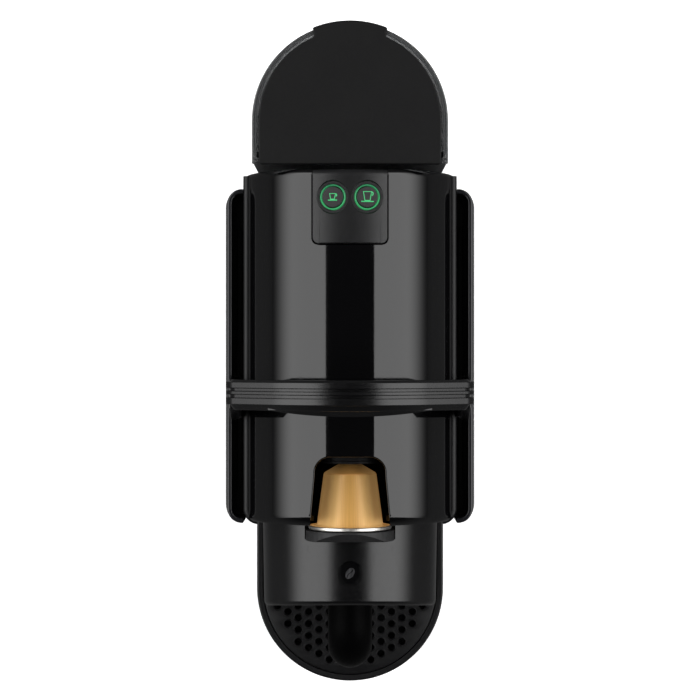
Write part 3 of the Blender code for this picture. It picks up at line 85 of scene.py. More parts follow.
# Lever
PIVOT_Y, PIVOT_Z, HUB_RADIUS, HUB_OFFSET = -0.007, 0.180, 0.0085, 0.0011
AXLE_REACH, AXLE_WAY_RADIUS, LEVER_BORE_RADIUS = 0.06, 0.0046, 0.0043
LEVER_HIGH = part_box("lever")[1]
ARM_INNER_X, ARM_OUTER_X = 0.049, LEVER_HIGH.x
BAR_Y, BAR_THICKNESS, BAR_BOTTOM, BAR_TOP, RIB_HEIGHT = -0.0053, 0.0132, 0.252, 0.2638, 0.0006
ARCH_SWEEP, SHOULDER_RADIUS = radians(38), 0.008
UNDERSIDE_FLAT, UNDERSIDE_RADIUS = 0.013, 0.0461
BAR_RIBS, RIB_ROUND = ((0.0043, 0.00140), (0.0010, 0.00080), (-0.0026, 0.00150)), 0.00045
PUSHER_HALF_WIDTH, PUSHER_DEPTH = 0.035, 0.0027

# Controls
PANEL_HALF_WIDTH, PANEL_FRONT, PANEL_CORNER = 0.0166, 0.0609, 0.003
BUTTON_X, BUTTON_Y = 0.00775, 0.0814
BUTTON_TILT = asin(BUTTON_X / BARREL_RADIUS)
BUTTON_RADIUS, RING_INNER, RING_OUTER, RECESS_RADIUS = 0.00465, 0.00500, 0.00558, 0.0073
STROKE_WIDTH, STROKE_FLATNESS, STROKE_LEVEL = 0.00050, 0.3, 0.04812

# Tank and lid
TANK_LOW, TANK_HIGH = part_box("water_tank")
TANK_RADIUS = TANK_HIGH.x
TANK_CENTRE_Y = TANK_HIGH.y - TANK_RADIUS
TANK_BOTTOM, TANK_WALL, OUTLET_RADIUS, OUTLET_BORE = 0.032, 0.0022, 0.0070, 0.0045
LID_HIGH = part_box("tank_lid")[1]
LID_RADIUS, LID_BOTTOM, LID_FRONT, LID_LIP_HALF_WIDTH = 0.0405, 0.210, 0.0966, 0.0163
LID_PIN_Y, LID_PIN_Z, LID_PIN_RADIUS = 0.101, 0.2095, 0.0015
VALVE_Y = 0.118

# Drip tray, grid and capsule container
TRAY_LOW, TRAY_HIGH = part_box("drip_tray")
TRAY_RADIUS = TRAY_HIGH.x
TRAY_CENTRE_Y, TRAY_SHOULDER_Y, TRAY_RIM = TRAY_LOW.y + TRAY_RADIUS, -0.066, 0.0033
TONGUE_HALF_WIDTH, TONGUE_REAR = 0.0435, -0.009
GRID_LOW, GRID_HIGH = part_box("drip_grid")
HOLE_RADIUS, HOLE_PITCH_X, HOLE_PITCH_Y, HOLE_FIELD = 0.00185, 0.00546, 0.0063, 0.0395
HOLE_COLLAR, COLLAR_HEIGHT = 0.00262, 0.00035
BIN_LOW, BIN_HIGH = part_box("capsule_container")
BIN_HALF_WIDTH, BIN_WALL, LEDGE_GAP_X = 0.037, 0.002, 0.0360

# Base
BASE_LOW, BASE_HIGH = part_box("base_plate")
BASE_FLOOR, BASE_WALL_TOP = 0.007, 0.028
BASE_OUTER_X, BASE_ROOM_X = 0.0485, 0.0455
PLATFORM_RADIUS, SOCKET_HOLE_RADIUS, GLAND_Z, GLAND_RADIUS = 0.0425, 0.0120, 0.0165, 0.0053
SCREW_X, SCREW_Y, SCREW_HOLE_RADIUS = 0.0515, 0.020, 0.0018


# ---- finishes
def feed(tree, socket, value):
    if isinstance(value, bpy.types.NodeSocket):
        tree.links.new(value, socket)
    else:
        socket.default_value = value


def add_node(tree, kind, **inputs):
    """A new node, its inputs named with _ for a space and fed by a value or by another's output."""
    made = tree.nodes.new(kind)
    for key, value in inputs.items():
        feed(tree, made.inputs[key.replace("_", " ")], value)
    return made


class Finish:
    """A node material that is put together step by step."""

    def __init__(self, name, roughness, metallic=0.0, **sockets):
        self.material = bpy.data.materials.new(name)
        self.material.use_nodes = True
        self.tree = self.material.node_tree
        self.surface = self.tree.nodes["Principled BSDF"]
        self.put(Roughness=roughness, Metallic=metallic, **sockets)
        self.place = self.node("ShaderNodeTexCoord").outputs["Object"]

    def put(self, **sockets):
        for key, value in sockets.items():
            feed(self.tree, self.surface.inputs[key.replace("_", " ")], value)

    def node(self, kind, **inputs):
        return add_node(self.tree, kind, **inputs)

    def maths(self, operation, *values):
        made = self.node("ShaderNodeMath")
        made.operation = operation
        for socket, value in zip(made.inputs, values):
            feed(self.tree, socket, value)
        return made.outputs["Value"]

    def stretched(self, scale):
        return self.node("ShaderNodeMapping", Vector=self.place, Scale=scale).outputs["Vector"]

    def noise(self, scale, detail=3.0, stretch=None):
        where = self.stretched(stretch) if stretch else self.place
        made = self.node("ShaderNodeTexNoise", Vector=where, Scale=scale, Detail=detail)
        return made.outputs["Fac"]

    def range(self, value, low, high, start=0.0, end=1.0):
        return self.node("ShaderNodeMapRange", Value=value, From_Min=start, From_Max=end, To_Min=low,
                         To_Max=high).outputs["Result"]

    def mix(self, share, first, second):
        """A mix of two colours, through the colour sockets that a mix node keeps after its others."""
        made = self.node("ShaderNodeMix")
        made.data_type = "RGBA"
        feed(self.tree, made.inputs[0], share)
        for number, colour in ((6, first), (7, second)):
            feed(self.tree, made.inputs[number], (*colour, 1.0) if isinstance(colour, tuple) else colour)
        return made.outputs[2]

    def colour(self, value):
        self.put(Base_Color=value)

    def roughness(self, value):
        self.put(Roughness=value)

    def bump(self, height, distance, strength=1.0):
        made = self.node("ShaderNodeBump", Height=height, Distance=distance, Strength=strength)
        self.put(Normal=made.outputs["Normal"])


def moulded(name, dark, light, roughness, spread, grain, depth, **sockets):
    """Moulded plastic or rubber: slow colour drift, a fine grain, and uneven gloss."""
    made = Finish(name, roughness, **sockets)
    drift = made.noise(45.0, 4.0)
    fine = made.noise(grain, 2.0)
    made.colour(made.mix(made.range(drift, 0.0, 1.0, 0.3, 0.7), dark, light))
    made.roughness(made.range(made.noise(grain * 0.21, 3.0), roughness - spread, roughness + spread,
                              0.3, 0.7))
    made.bump(fine, depth)
    return made.material


def gloss_plastic(name, shade):
    """Polished moulding, with a slight waviness, hairline scratches and a little dust."""
    made = Finish(name, 0.06, IOR=1.5)
    dust = made.node("ShaderNodeTexVoronoi", Vector=made.place, Scale=420.0).outputs["Distance"]
    speck = made.range(dust, 1.0, 0.0, 0.0, 0.035)
    scratch = made.noise(260.0, 4.0, (1.0, 0.06, 1.0))
    made.colour(made.mix(made.range(speck, 0.0, 0.25), (shade, shade, shade * 1.15),
                         (0.030, 0.030, 0.030)))
    made.roughness(made.range(scratch, 0.045, 0.095, 0.35, 0.7))
    made.bump(made.noise(70.0, 1.0), 0.00002, 0.35)
    return made.material


def smoked_plastic():
    made = Finish("smoked_clear_finish", 0.05, IOR=1.49)
    made.put(Transmission_Weight=0.80)
    drift = made.noise(60.0, 2.0)
    made.colour(made.mix(drift, (0.27, 0.275, 0.28), (0.33, 0.335, 0.34)))
    made.roughness(made.range(made.noise(900.0, 3.0), 0.04, 0.12, 0.35, 0.7))
    made.bump(made.noise(110.0, 1.0), 0.00003, 0.4)
    return made.material


def metal(name, dark, light, roughness, lines, depth, stretch):
    """Drawn or rolled metal: lines across its length in colour, gloss and relief."""
    made = Finish(name, roughness, 1.0)
    grain = made.noise(lines, 4.0, stretch)
    made.colour(made.mix(made.range(grain, 0.0, 1.0, 0.3, 0.7), dark, light))
    made.roughness(made.range(grain, roughness * 0.8, roughness * 1.25, 0.3, 0.7))
    made.bump(grain, depth, 0.6)
    return made.material


def capsule_gold_painted_light():
    """Drawn aluminium with a gold lacquer, whose fine lines run along the capsule's sides, with a painted
    highlight and a painted glow on its sides and a painted shade on its dome.
    """
    made = Finish("gold_aluminium_painted_light_finish", 0.42, 0.12, Sheen_Weight=0.6, Sheen_Roughness=0.40,
                  Sheen_Tint=(1.0, 0.72, 0.36, 1.0))
    low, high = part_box("capsule_body")
    middle = (low + high) / 2
    split = made.node("ShaderNodeSeparateXYZ", Vector=made.place)
    x = made.range(split.outputs["X"], -1.0, 1.0, middle.x - 0.02, middle.x + 0.02)
    z = made.range(split.outputs["Z"], -1.0, 1.0, middle.z - 0.02, middle.z + 0.02)
    around = made.node("ShaderNodeCombineXYZ", X=made.maths("ARCTAN2", x, z), Y=split.outputs["Y"])
    lines = made.node("ShaderNodeTexNoise", Vector=around.outputs["Vector"], Scale=38.0, Detail=5.0)
    fine = made.range(lines.outputs["Fac"], 0.0, 1.0, 0.3, 0.7)
    # painted shade: the dome behind the capsule's shoulder is mixed to a darker gold below
    shade = made.range(split.outputs["Y"], 0.0, 1.0, high.y - 0.0047, high.y - 0.0043)
    # painted highlight: the gold lightens towards the capsule's left and right sides
    painted_side_light = made.range(made.maths("ABSOLUTE", x), 0.0, 1.0, 0.18, 0.62)
    middle_gold = made.mix(fine, (0.52, 0.27, 0.065), (0.66, 0.37, 0.10))
    side = made.mix(painted_side_light, middle_gold, (1.0, 0.68, 0.28))
    made.colour(made.mix(shade, side, (0.62, 0.30, 0.08)))
    # painted glow: a faint emission that grows towards the capsule's sides
    made.put(Emission_Color=made.mix(painted_side_light, (0.10, 0.05, 0.01), (1.0, 0.55, 0.19)),
             Emission_Strength=0.22)
    made.roughness(made.range(fine, 0.34, 0.46))
    made.bump(lines.outputs["Fac"], 0.00002, 0.5)
    return made.material


def copper_winding():
    made = Finish("copper_finish", 0.35, 1.0)
    wave = made.node("ShaderNodeTexWave", Vector=made.place, Scale=900.0, Distortion=0.4)
    wave.bands_direction = "Z"
    made.colour(made.mix(wave.outputs["Fac"], (0.38, 0.15, 0.07), (0.75, 0.37, 0.21)))
    made.roughness(made.range(made.noise(800.0), 0.25, 0.45))
    made.bump(wave.outputs["Fac"], 0.0001)
    return made.material


def circuit_board():
    made = Finish("board_green_finish", 0.45)
    tracks = made.node("ShaderNodeTexBrick", Vector=made.place, Scale=260.0, Mortar_Size=0.03,
                       Color1=(0.02, 0.13, 0.05, 1.0), Color2=(0.03, 0.18, 0.07, 1.0),
                       Mortar=(0.10, 0.34, 0.16, 1.0))
    made.colour(tracks.outputs["Color"])
    made.roughness(made.range(made.noise(700.0), 0.35, 0.55))
    made.bump(tracks.outputs["Fac"], 0.00004)
    return made.material


def lit_green(name, dim, bright, far_y, near_y, strength):
    """A light guide that is brighter towards its near side."""
    made = Finish(name, 0.35)
    split = made.node("ShaderNodeSeparateXYZ", Vector=made.place)
    share = made.range(split.outputs["Y"], 0.0, 1.0, far_y, near_y)
    grain = made.range(made.noise(1500.0), 0.85, 1.0, 0.3, 0.7)
    made.colour(made.mix(grain, (0.02, 0.10, 0.05), (0.03, 0.16, 0.08)))
    made.put(Emission_Color=made.mix(share, dim, bright), Emission_Strength=strength)
    made.bump(made.noise(1500.0), 0.00002)
    return made.material


FINISHES = {
    "gloss_black": gloss_plastic("gloss_black_finish", 0.0018),
    "satin_black": moulded("satin_black_finish", (0.0024, 0.0024, 0.0027), (0.0034, 0.0034, 0.0037),
                           0.23, 0.03, 2600.0, 0.00003),
    "matte_black": moulded("matte_black_finish", (0.010, 0.010, 0.0105), (0.014, 0.014, 0.0145),
                           0.58, 0.06, 2200.0, 0.00006),
    "lid_black": moulded("lid_black_finish", (0.0020, 0.0020, 0.0022), (0.0030, 0.0030, 0.0032),
                         0.58, 0.05, 3200.0, 0.00004, IOR=1.30),
    "smoked_clear": smoked_plastic(),
    "white_plastic": moulded("white_plastic_finish", (0.66, 0.65, 0.61), (0.74, 0.73, 0.70),
                             0.40, 0.06, 1500.0, 0.00003),
    "grey_plastic": moulded("grey_plastic_finish", (0.15, 0.15, 0.16), (0.19, 0.19, 0.20),
                            0.45, 0.06, 1500.0, 0.00004),
    "rubber": moulded("rubber_finish", (0.014, 0.014, 0.014), (0.022, 0.022, 0.021),
                      0.82, 0.08, 1300.0, 0.00008),
    "silicone": moulded("silicone_finish", (0.48, 0.48, 0.45), (0.60, 0.60, 0.57),
                        0.50, 0.08, 900.0, 0.00003),
    "steel": metal("steel_finish", (0.42, 0.42, 0.43), (0.62, 0.62, 0.64), 0.28, 900.0, 0.00002,
                   (1.0, 0.08, 1.0)),
    "cast_aluminium": metal("cast_aluminium_finish", (0.50, 0.50, 0.51), (0.66, 0.66, 0.68), 0.45,
                            1300.0, 0.00008, (1.0, 1.0, 1.0)),
    "gold_aluminium": capsule_gold_painted_light(),
    "foil": metal("foil_finish", (0.74, 0.72, 0.67), (0.86, 0.84, 0.79), 0.34, 700.0, 0.00003,
                  (1.0, 1.0, 1.0)),
    "copper": copper_winding(),
    "board_green": circuit_board(),
    "green_light": lit_green("green_light_finish", (0.010, 0.24, 0.070), (0.045, 0.56, 0.16),
                             BUTTON_Y + 0.0052, BUTTON_Y - 0.0030, 0.42),
}
ICON_FINISH = lit_green("icon_finish", (0.045, 0.62, 0.17), (0.06, 0.72, 0.21),
                        BUTTON_Y + 0.004, BUTTON_Y - 0.004, 0.60)


# ---- outlines
def evenly(first, last, steps):
    """Evenly spaced values, with both ends."""
    return [first + (last - first) * i / steps for i in range(steps + 1)]


def arc(centre, radius, start, end, steps):
    """Points along an arc, its angles in degrees."""
    turns = [radians(angle) for angle in evenly(start, end, steps)]
    return [(centre[0] + radius * cos(a), centre[1] + radius * sin(a)) for a in turns]


def rounded_rectangle(low, high, radius, steps=12):
    left, bottom, right, top = low[0] + radius, low[1] + radius, high[0] - radius, high[1] - radius
    return (arc((right, top), radius, 0, 90, steps) + arc((left, top), radius, 90, 180, steps)
            + arc((left, bottom), radius, 180, 270, steps)
            + arc((right, bottom), radius, 270, 360, steps))


def arch(radius, axis_z, bottom, corner, steps=96):
    """An upright outline with a round top and rounded lower corners, across Y."""
    return (arc((-radius + corner, bottom + corner), corner, 180, 270, 8)
            + arc((radius - corner, bottom + corner), corner, 270, 360, 8)
            + arc((0, axis_z), radius, 0, 180, steps))


def d_shape(radius, centre_y, straight_y, towards, steps=96):
    """Seen from above: a half circle towards +Y (1) or -Y (-1) with straight sides to straight_y."""
    ends = (0, 180) if towards > 0 else (180, 360)
    round_end = arc((0, centre_y), radius, *ends, steps)
    return round_end + [(-radius * towards, straight_y), (radius * towards, straight_y)]


def set_in(outline, distance):
    """A closed anticlockwise outline moved inwards, its corners mitred."""
    count = len(outline)
    moved = []
    for i, (x, y) in enumerate(outline):
        before, after = Vector(outline[i - 1]), Vector(outline[(i + 1) % count])
        first, second = Vector((x, y)) - before, after - Vector((x, y))
        first = first.normalized() if first.length > 1e-9 else second.normalized()
        second = second.normalized() if second.length > 1e-9 else first
        normal = Vector((-first.y - second.y, first.x + second.x)).normalized()
        stretch = max(0.35, normal.dot(Vector((-first.y, first.x))))
        moved.append((x + normal.x * distance / stretch, y + normal.y * distance / stretch))
    return moved


def on_axis(axis, point, along):
    """An outline's point in space. Across X it is (y, z), across Y (x, z) and across Z (x, y)."""
    if axis == AXIS_X:
        return (along, point[0], point[1])
    if axis == AXIS_Y:
        return (point[0], along, point[1])
    return (point[0], point[1], along)


def quarter_round(radius, depth=None, steps=6):
    """How far in, and how far along, each step of a rounded edge lies, from its end face on."""
    depth = radius if depth is None else depth
    turns = evenly(0.0, pi / 2, steps)
    return [(radius * (1 - sin(a)), depth * (1 - cos(a))) for a in turns]


def level(outline, z):
    return [(x, y, z) for x, y in outline]


# ---- solids
def linked(name, data):
    obj = bpy.data.objects.new(name, data)
    bpy.context.scene.collection.objects.link(obj)
    return obj


def new_object(name, bm):
    bmesh.ops.recalc_face_normals(bm, faces=bm.faces)
    mesh = bpy.data.meshes.new(name)
    bm.to_mesh(mesh)
    bm.free()
    return linked(name, mesh)


def curve_mesh(name, lines, width=None, cyclic=True):
    """A flat face between closed lines or, with a width, a thin tube along each line."""
    curve = bpy.data.curves.new(name, "CURVE")
    if width is None:
        curve.dimensions, curve.fill_mode = "2D", "BOTH"
    else:
        curve.dimensions, curve.bevel_depth = "3D", width / 2
        curve.bevel_resolution, curve.use_fill_caps = 3, True
    for points in lines:
        spline = curve.splines.new("POLY")
        spline.points.add(len(points) - 1)
        for target, (x, y) in zip(spline.points, points):
            target.co = (x, y, 0.0, 1.0)
        spline.use_cyclic_u = cyclic
    guide = linked(name, curve)
    bpy.context.view_layer.update()
    seen = guide.evaluated_get(bpy.context.evaluated_depsgraph_get())
    mesh = bpy.data.meshes.new_from_object(seen)
    bpy.data.objects.remove(guide)
    bpy.data.curves.remove(curve)
    return mesh


def bridge(bm, pairs):
    """Quads between the two rings of each pair."""
    for first, second in pairs:
        for i in range(len(first)):
            j = (i + 1) % len(first)
            bm.faces.new((first[i], first[j], second[j], second[i]))


def loft(name, rings, closed=False):
    """Quads between closed rings of equal length. It is capped at both ends, or closed on itself."""
    bm = bmesh.new()
    rows = [[bm.verts.new(point) for point in ring] for ring in rings]
    bridge(bm, list(zip(rows, rows[1:])) + ([(rows[-1], rows[0])] if closed else []))
    if not closed:
        bm.faces.new(rows[0])
        bm.faces.new(rows[-1])
    return new_object(name, bm)


def prism(name, axis, outline, low, high, low_round=0.0, high_round=0.0, steps=6):
    """An outline extruded along an axis, its end edges rounded."""
    stations = [(0.0, low)]
    if low_round:
        stations = [(inset, low + along) for inset, along in quarter_round(low_round, steps=steps)]
    ends = [(0.0, high)]
    if high_round:
        ends = [(inset, high - along) for inset, along in quarter_round(high_round, steps=steps)]
    stations += list(reversed(ends))
    return loft(name, [[on_axis(axis, p, along) for p in set_in(outline, inset)]
                       for inset, along in stations])


def turned(name, profile, origin, direction, segments=96):
    """A closed profile of (radius, height) turned round an axis through the origin."""
    bm = bmesh.new()
    rows = []
    for a in evenly(0, 2 * pi, segments)[:-1]:
        rows.append([bm.verts.new((r * cos(a), r * sin(a), h)) for r, h in profile])
    bridge(bm, zip(rows, rows[1:] + rows[:1]))
    bmesh.ops.remove_doubles(bm, verts=bm.verts, dist=1e-7)
    bmesh.ops.dissolve_degenerate(bm, edges=bm.edges, dist=1e-7)
    turn = Vector(direction).to_track_quat("Z", "Y").to_matrix().to_4x4()
    bmesh.ops.transform(bm, matrix=Matrix.Translation(origin) @ turn, verts=bm.verts)
    return new_object(name, bm)


def rod(name, start, end, radius, segments=64):
    start, end = Vector(start), Vector(end)
    length = (end - start).length
    return turned(name, [(0, 0), (radius, 0), (radius, length), (0, length)], start, end - start,
                  segments)


def across_pivot(name, radius):
    return rod(name, (-AXLE_REACH, PIVOT_Y, PIVOT_Z), (AXLE_REACH, PIVOT_Y, PIVOT_Z), radius)


def box(name, low, high):
    return prism(name, AXIS_Z, [(low[0], low[1]), (high[0], low[1]), (high[0], high[1]),
                                (low[0], high[1])], low[2], high[2])


def path_tube(name, points, ways, radii, segments=72):
    """A closed sleeve carried along a path in the plane X = 0, with each point's way and radius."""
    rings = []
    side = Vector((1, 0, 0))
    turns = evenly(0, 2 * pi, segments)[:-1]
    for point, way, radius in zip(points, ways, radii):
        up = side.cross(Vector(way)).normalized()
        rings.append([Vector(point) + (side * cos(a) + up * sin(a)) * radius for a in turns])
    return loft(name, rings, closed=True)


# ---- modelling steps
def bake(obj):
    """Gives an object the mesh that its modifiers make."""
    bpy.context.view_layer.update()
    evaluated = obj.evaluated_get(bpy.context.evaluated_depsgraph_get())
    old = obj.data
    obj.data = bpy.data.meshes.new_from_object(evaluated)
    obj.modifiers.clear()
    bpy.data.meshes.remove(old)
    return obj


def combine(target, operation, tools):
    for tool in tools:
        boolean = target.modifiers.new("step", "BOOLEAN")
        boolean.operation = operation
        boolean.solver = "EXACT"
        boolean.object = tool
    bake(target)
    for tool in tools:
        bpy.data.objects.remove(tool)
    return target


def cut(target, *tools):
    return combine(target, "DIFFERENCE", tools)


def join(target, *tools):
    return combine(target, "UNION", tools)


def keep_inside(target, *tools):
    return combine(target, "INTERSECT", tools)


def piece(obj, name, finish, body, *nodes, material=None, angle=32, weighted=True):
    """Names a finished shape, gives it its material and hangs it on its body."""
    obj.name = name
    obj.data.name = name
    obj.data.materials.clear()
    obj.data.materials.append(material or FINISHES[finish])
    obj.data.shade_smooth()
    obj.data.set_sharp_from_angle(angle=radians(angle))
    if weighted:
        normals = obj.modifiers.new("normals", "WEIGHTED_NORMAL")
        normals.keep_sharp = True
        normals.weight = 60
        bake(obj)
    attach(obj, body)
    if nodes:
        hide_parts(*nodes)
    return obj


def true_normals(obj, normal_at):
    """Sets the shading normals that a curved surface has by its formula, where there is one."""
    mesh = obj.data
    normals = [Vector(corner.vector) for corner in mesh.corner_normals]
    for polygon in mesh.polygons:
        for corner in polygon.loop_indices:
            exact = normal_at(mesh.vertices[mesh.loops[corner].vertex_index].co)
            if exact is not None and exact.dot(polygon.normal) > 0.985:
                normals[corner] = exact
    mesh.normals_split_custom_set(normals)


# ---- casing
def crown(x):
    """The barrel's surface height above a place at x."""
    return BARREL_AXIS_Z + sqrt(max(BARREL_RADIUS ** 2 - x * x, 0.0))


def surface_plug(name, outline, radius, depth, inwards):
    """A plug whose edge, where it meets the barrel's surface, is rounded into or out of the outline."""
    way = 1 if inwards else -1
    rings = [[(x, y, crown(x) - depth) for x, y in outline]]
    for angle in evenly(0, 82, 7):
        a = radians(angle)
        inset, under = radius * (1 - cos(a)), radius * (1 - sin(a))
        rings.append([(x, y, crown(x) - under) for x, y in set_in(outline, way * inset)])
    rings.append([(x, y, crown(x) + radius * 0.08) for x, y in set_in(outline, way * radius * 1.35)])
    rings.append([(x, y, crown(x) + 0.004) for x, y in set_in(outline, way * radius * 1.35)])
    top = level(set_in(outline, way * radius * 1.35), BARREL_HIGH.z + 0.006)
    bottom = level(outline, crown(PANEL_HALF_WIDTH + 0.004) - depth - 0.003)
    return loft(name, [bottom, *rings, top])


def barrel_normal(co):
    if co.z < BARREL_AXIS_Z or co.y < BARREL_FRONT + NOSE_ROUND - 1e-5:
        return None
    radial = Vector((co.x, 0, co.z - BARREL_AXIS_Z))
    if abs(radial.length - BARREL_RADIUS) > 8e-6:
        return None
    return radial.normalized()


def opening_outline():
    """The bell-shaped way in for a capsule, seen from above, anticlockwise."""
    right = [(0.0176, BARREL_FRONT - 0.01), (0.0176, BARREL_FRONT + 0.0006), (0.0156, -0.0415)]
    right += arc((0.0085, -0.0402), 0.0071, 8, 90, 14)
    return right + [(-x, y) for x, y in reversed(right)]


def panel_outline(margin):
    half, front = PANEL_HALF_WIDTH + margin, PANEL_FRONT - margin
    radius, rear = PANEL_CORNER, BARREL_REAR - GAP + 20 * margin
    return ([(half, rear), (-half, rear)] + arc((-half + radius, front + radius), radius, 180, 270, 10)
            + arc((half - radius, front + radius), radius, 270, 360, 10))


def make_barrel():
    outer, inner = BARREL_RADIUS, BARREL_RADIUS - BARREL_WALL
    front, rear = BARREL_FRONT, BARREL_REAR
    heights = evenly(BARREL_BOTTOM, BARREL_AXIS_Z, 6)[:-1]
    stations = [(-1, 0, z) for z in heights]
    stations += [(-cos(a), sin(a), BARREL_AXIS_Z) for a in evenly(0, pi, BARREL_STEPS)]
    stations += [(1, 0, z) for z in reversed(heights)]
    rings = []
    for dx, dz, z in stations:
        edge = BARREL_SIDE_ROUND + (BARREL_CROWN_ROUND - BARREL_SIDE_ROUND) * dz
        nose = BARREL_SIDE_ROUND + (NOSE_ROUND - BARREL_SIDE_ROUND) * dz
        profile = [(outer - edge + r, front + nose + y * nose / edge)
                   for r, y in arc((0, 0), edge, -68, 0, 20)]
        profile += arc((outer - edge, rear - edge), edge, 0, 68, 14)
        profile += [(inner, rear - 0.0009), (inner, front + 0.0009)]
        rings.append([(dx * r, y, z + dz * r) for r, y in profile])
    shell = loft("barrel", rings)
    cut(shell, surface_plug("opening", opening_outline(), 0.0007, 0.016, False),
        surface_plug("window", panel_outline(GAP), 0.0003, 0.006, False),
        across_pivot("axle_way", AXLE_WAY_RADIUS))
    piece(shell, "barrel_casing", "gloss_black", "housing", "barrel_shell")
    true_normals(shell, barrel_normal)


def make_shoulder(side, name):
    """The rounded welt along the barrel's side, which turns in round its front corner."""
    corner = (WELT_X - WELT_TURN, BARREL_FRONT + 0.0056)
    path = [(WELT_X, y, 0.0) for y in evenly(BARREL_REAR - 0.0010, corner[1], 12)[:-1]]
    for angle in evenly(0, -82, 14):
        a = radians(angle)
        path.append((corner[0] + WELT_TURN * cos(a), corner[1] + WELT_TURN * sin(a), a))
    oval = [(WELT_HALF_WIDTH * u, WELT_HALF_HEIGHT * v) for u, v in arc((0, 0), 1.0, 0, 345, 23)]
    rings = [[(side * (x + out * cos(a)), y + out * sin(a), WELT_Z + up) for out, up in oval]
             for x, y, a in path]
    piece(loft("shoulder", rings), "shoulder_welt_" + name, "satin_black", "housing",
          material=TRAY_FINISH)


def cheek_half_width(z):
    drop = z - CHEEK_BULGE_Z
    if drop < 0:
        foot = (CHEEK_BULGE - CHEEK_FOOT_HALF_WIDTH) / (CHEEK_LOW.z - CHEEK_BULGE_Z) ** 2
        return CHEEK_BULGE - foot * drop ** 2
    top = (CHEEK_BULGE - CHEEK_TOP_HALF_WIDTH) / (CHEEK_HIGH.z - CHEEK_BULGE_Z) ** 2
    return CHEEK_BULGE - top * drop ** 2


def cheek_ring(side, z, inset, inner_x):
    """The cheek's plan at a height, set in by a wall's thickness."""
    front, rear = CHEEK_LOW.y + inset, CHEEK_HIGH.y - inset
    far = cheek_half_width(min(z, CHEEK_HIGH.z)) - inset
    radius = max(CHEEK_CORNER - inset, 0.0008)
    radius = min(radius, far - inner_x - 0.0001)
    plan = ([(inner_x, front)] + arc((far - radius, front + radius), radius, 270, 360, 16)
            + arc((far - radius, rear - radius), radius, 0, 90, 16) + [(inner_x, rear)])
    return [(side * x, y, z) for x, y in plan]


def make_cheek(side, name):
    low, high, rim = CHEEK_LOW.z, CHEEK_HIGH.z, CHEEK_RIM
    body = [(low + along, inset) for inset, along in quarter_round(0.0015)]
    body += [(z, 0.0) for z in evenly(low + 0.004, high - 0.002, 30)]
    body += [(high - along, inset) for inset, along in reversed(quarter_round(rim))]
    shell = loft(name, [cheek_ring(side, z, inset, CHEEK_INNER_X) for z, inset in body])
    inner_x = CHEEK_INNER_X - 0.001
    hollow = [(z, CHEEK_WALL) for z in evenly(low + 0.002, GROOVE_FLOOR - 0.0025, 14)]
    groove = [(GROOVE_FLOOR, CHEEK_WALL + 0.0008), (GROOVE_FLOOR + 0.0003, CHEEK_WALL + 0.0003),
              (GROOVE_FLOOR + 0.001, CHEEK_WALL)]
    groove += [(z, CHEEK_WALL) for z in evenly(GROOVE_FLOOR + 0.001, high - rim, 8)[1:]]
    for across, up in arc((0, 0), rim, 0, 84, 6)[1:]:
        groove.append((high - rim + up, CHEEK_WALL - rim + across))
    groove.append((high + 0.003, CHEEK_WALL - rim * 1.02))
    cut(shell, loft("hollow", [cheek_ring(side, z, inset, inner_x) for z, inset in hollow]),
        loft("groove", [cheek_ring(side, z, inset, inner_x) for z, inset in groove]))
    pads = []
    for number, (front, rear) in enumerate(GROOVE_PADS):
        chamfer_x = PAD_INNER_X + 0.0011
        outline = [(PAD_INNER_X, front + 0.0022), (chamfer_x, front), (PAD_OUTER_X, front),
                   (PAD_OUTER_X, rear), (chamfer_x, rear), (PAD_INNER_X, rear - 0.0022)]
        if side < 0:
            outline = [(-x, y) for x, y in reversed(outline)]
        pads.append(prism(f"pad_{number}", AXIS_Z, outline, GROOVE_FLOOR - 0.001,
                          GROOVE_FLOOR + 0.0016, 0.0, 0.0005, 4))
    join(shell, *pads)
    x = side * SCREW_X
    cut(shell, rod("screw_hole", (x, SCREW_Y, 0), (x, SCREW_Y, 0.012), SCREW_HOLE_RADIUS, 24))
    # painted light: the cheek gets a lighter copy of the gloss black, so it and its shaded groove look lit
    piece(shell, f"side_cover_{name}", "gloss_black", "housing", f"cheek_{name}",
          material=CHEEK_PAINTED_LIGHT_FINISH)


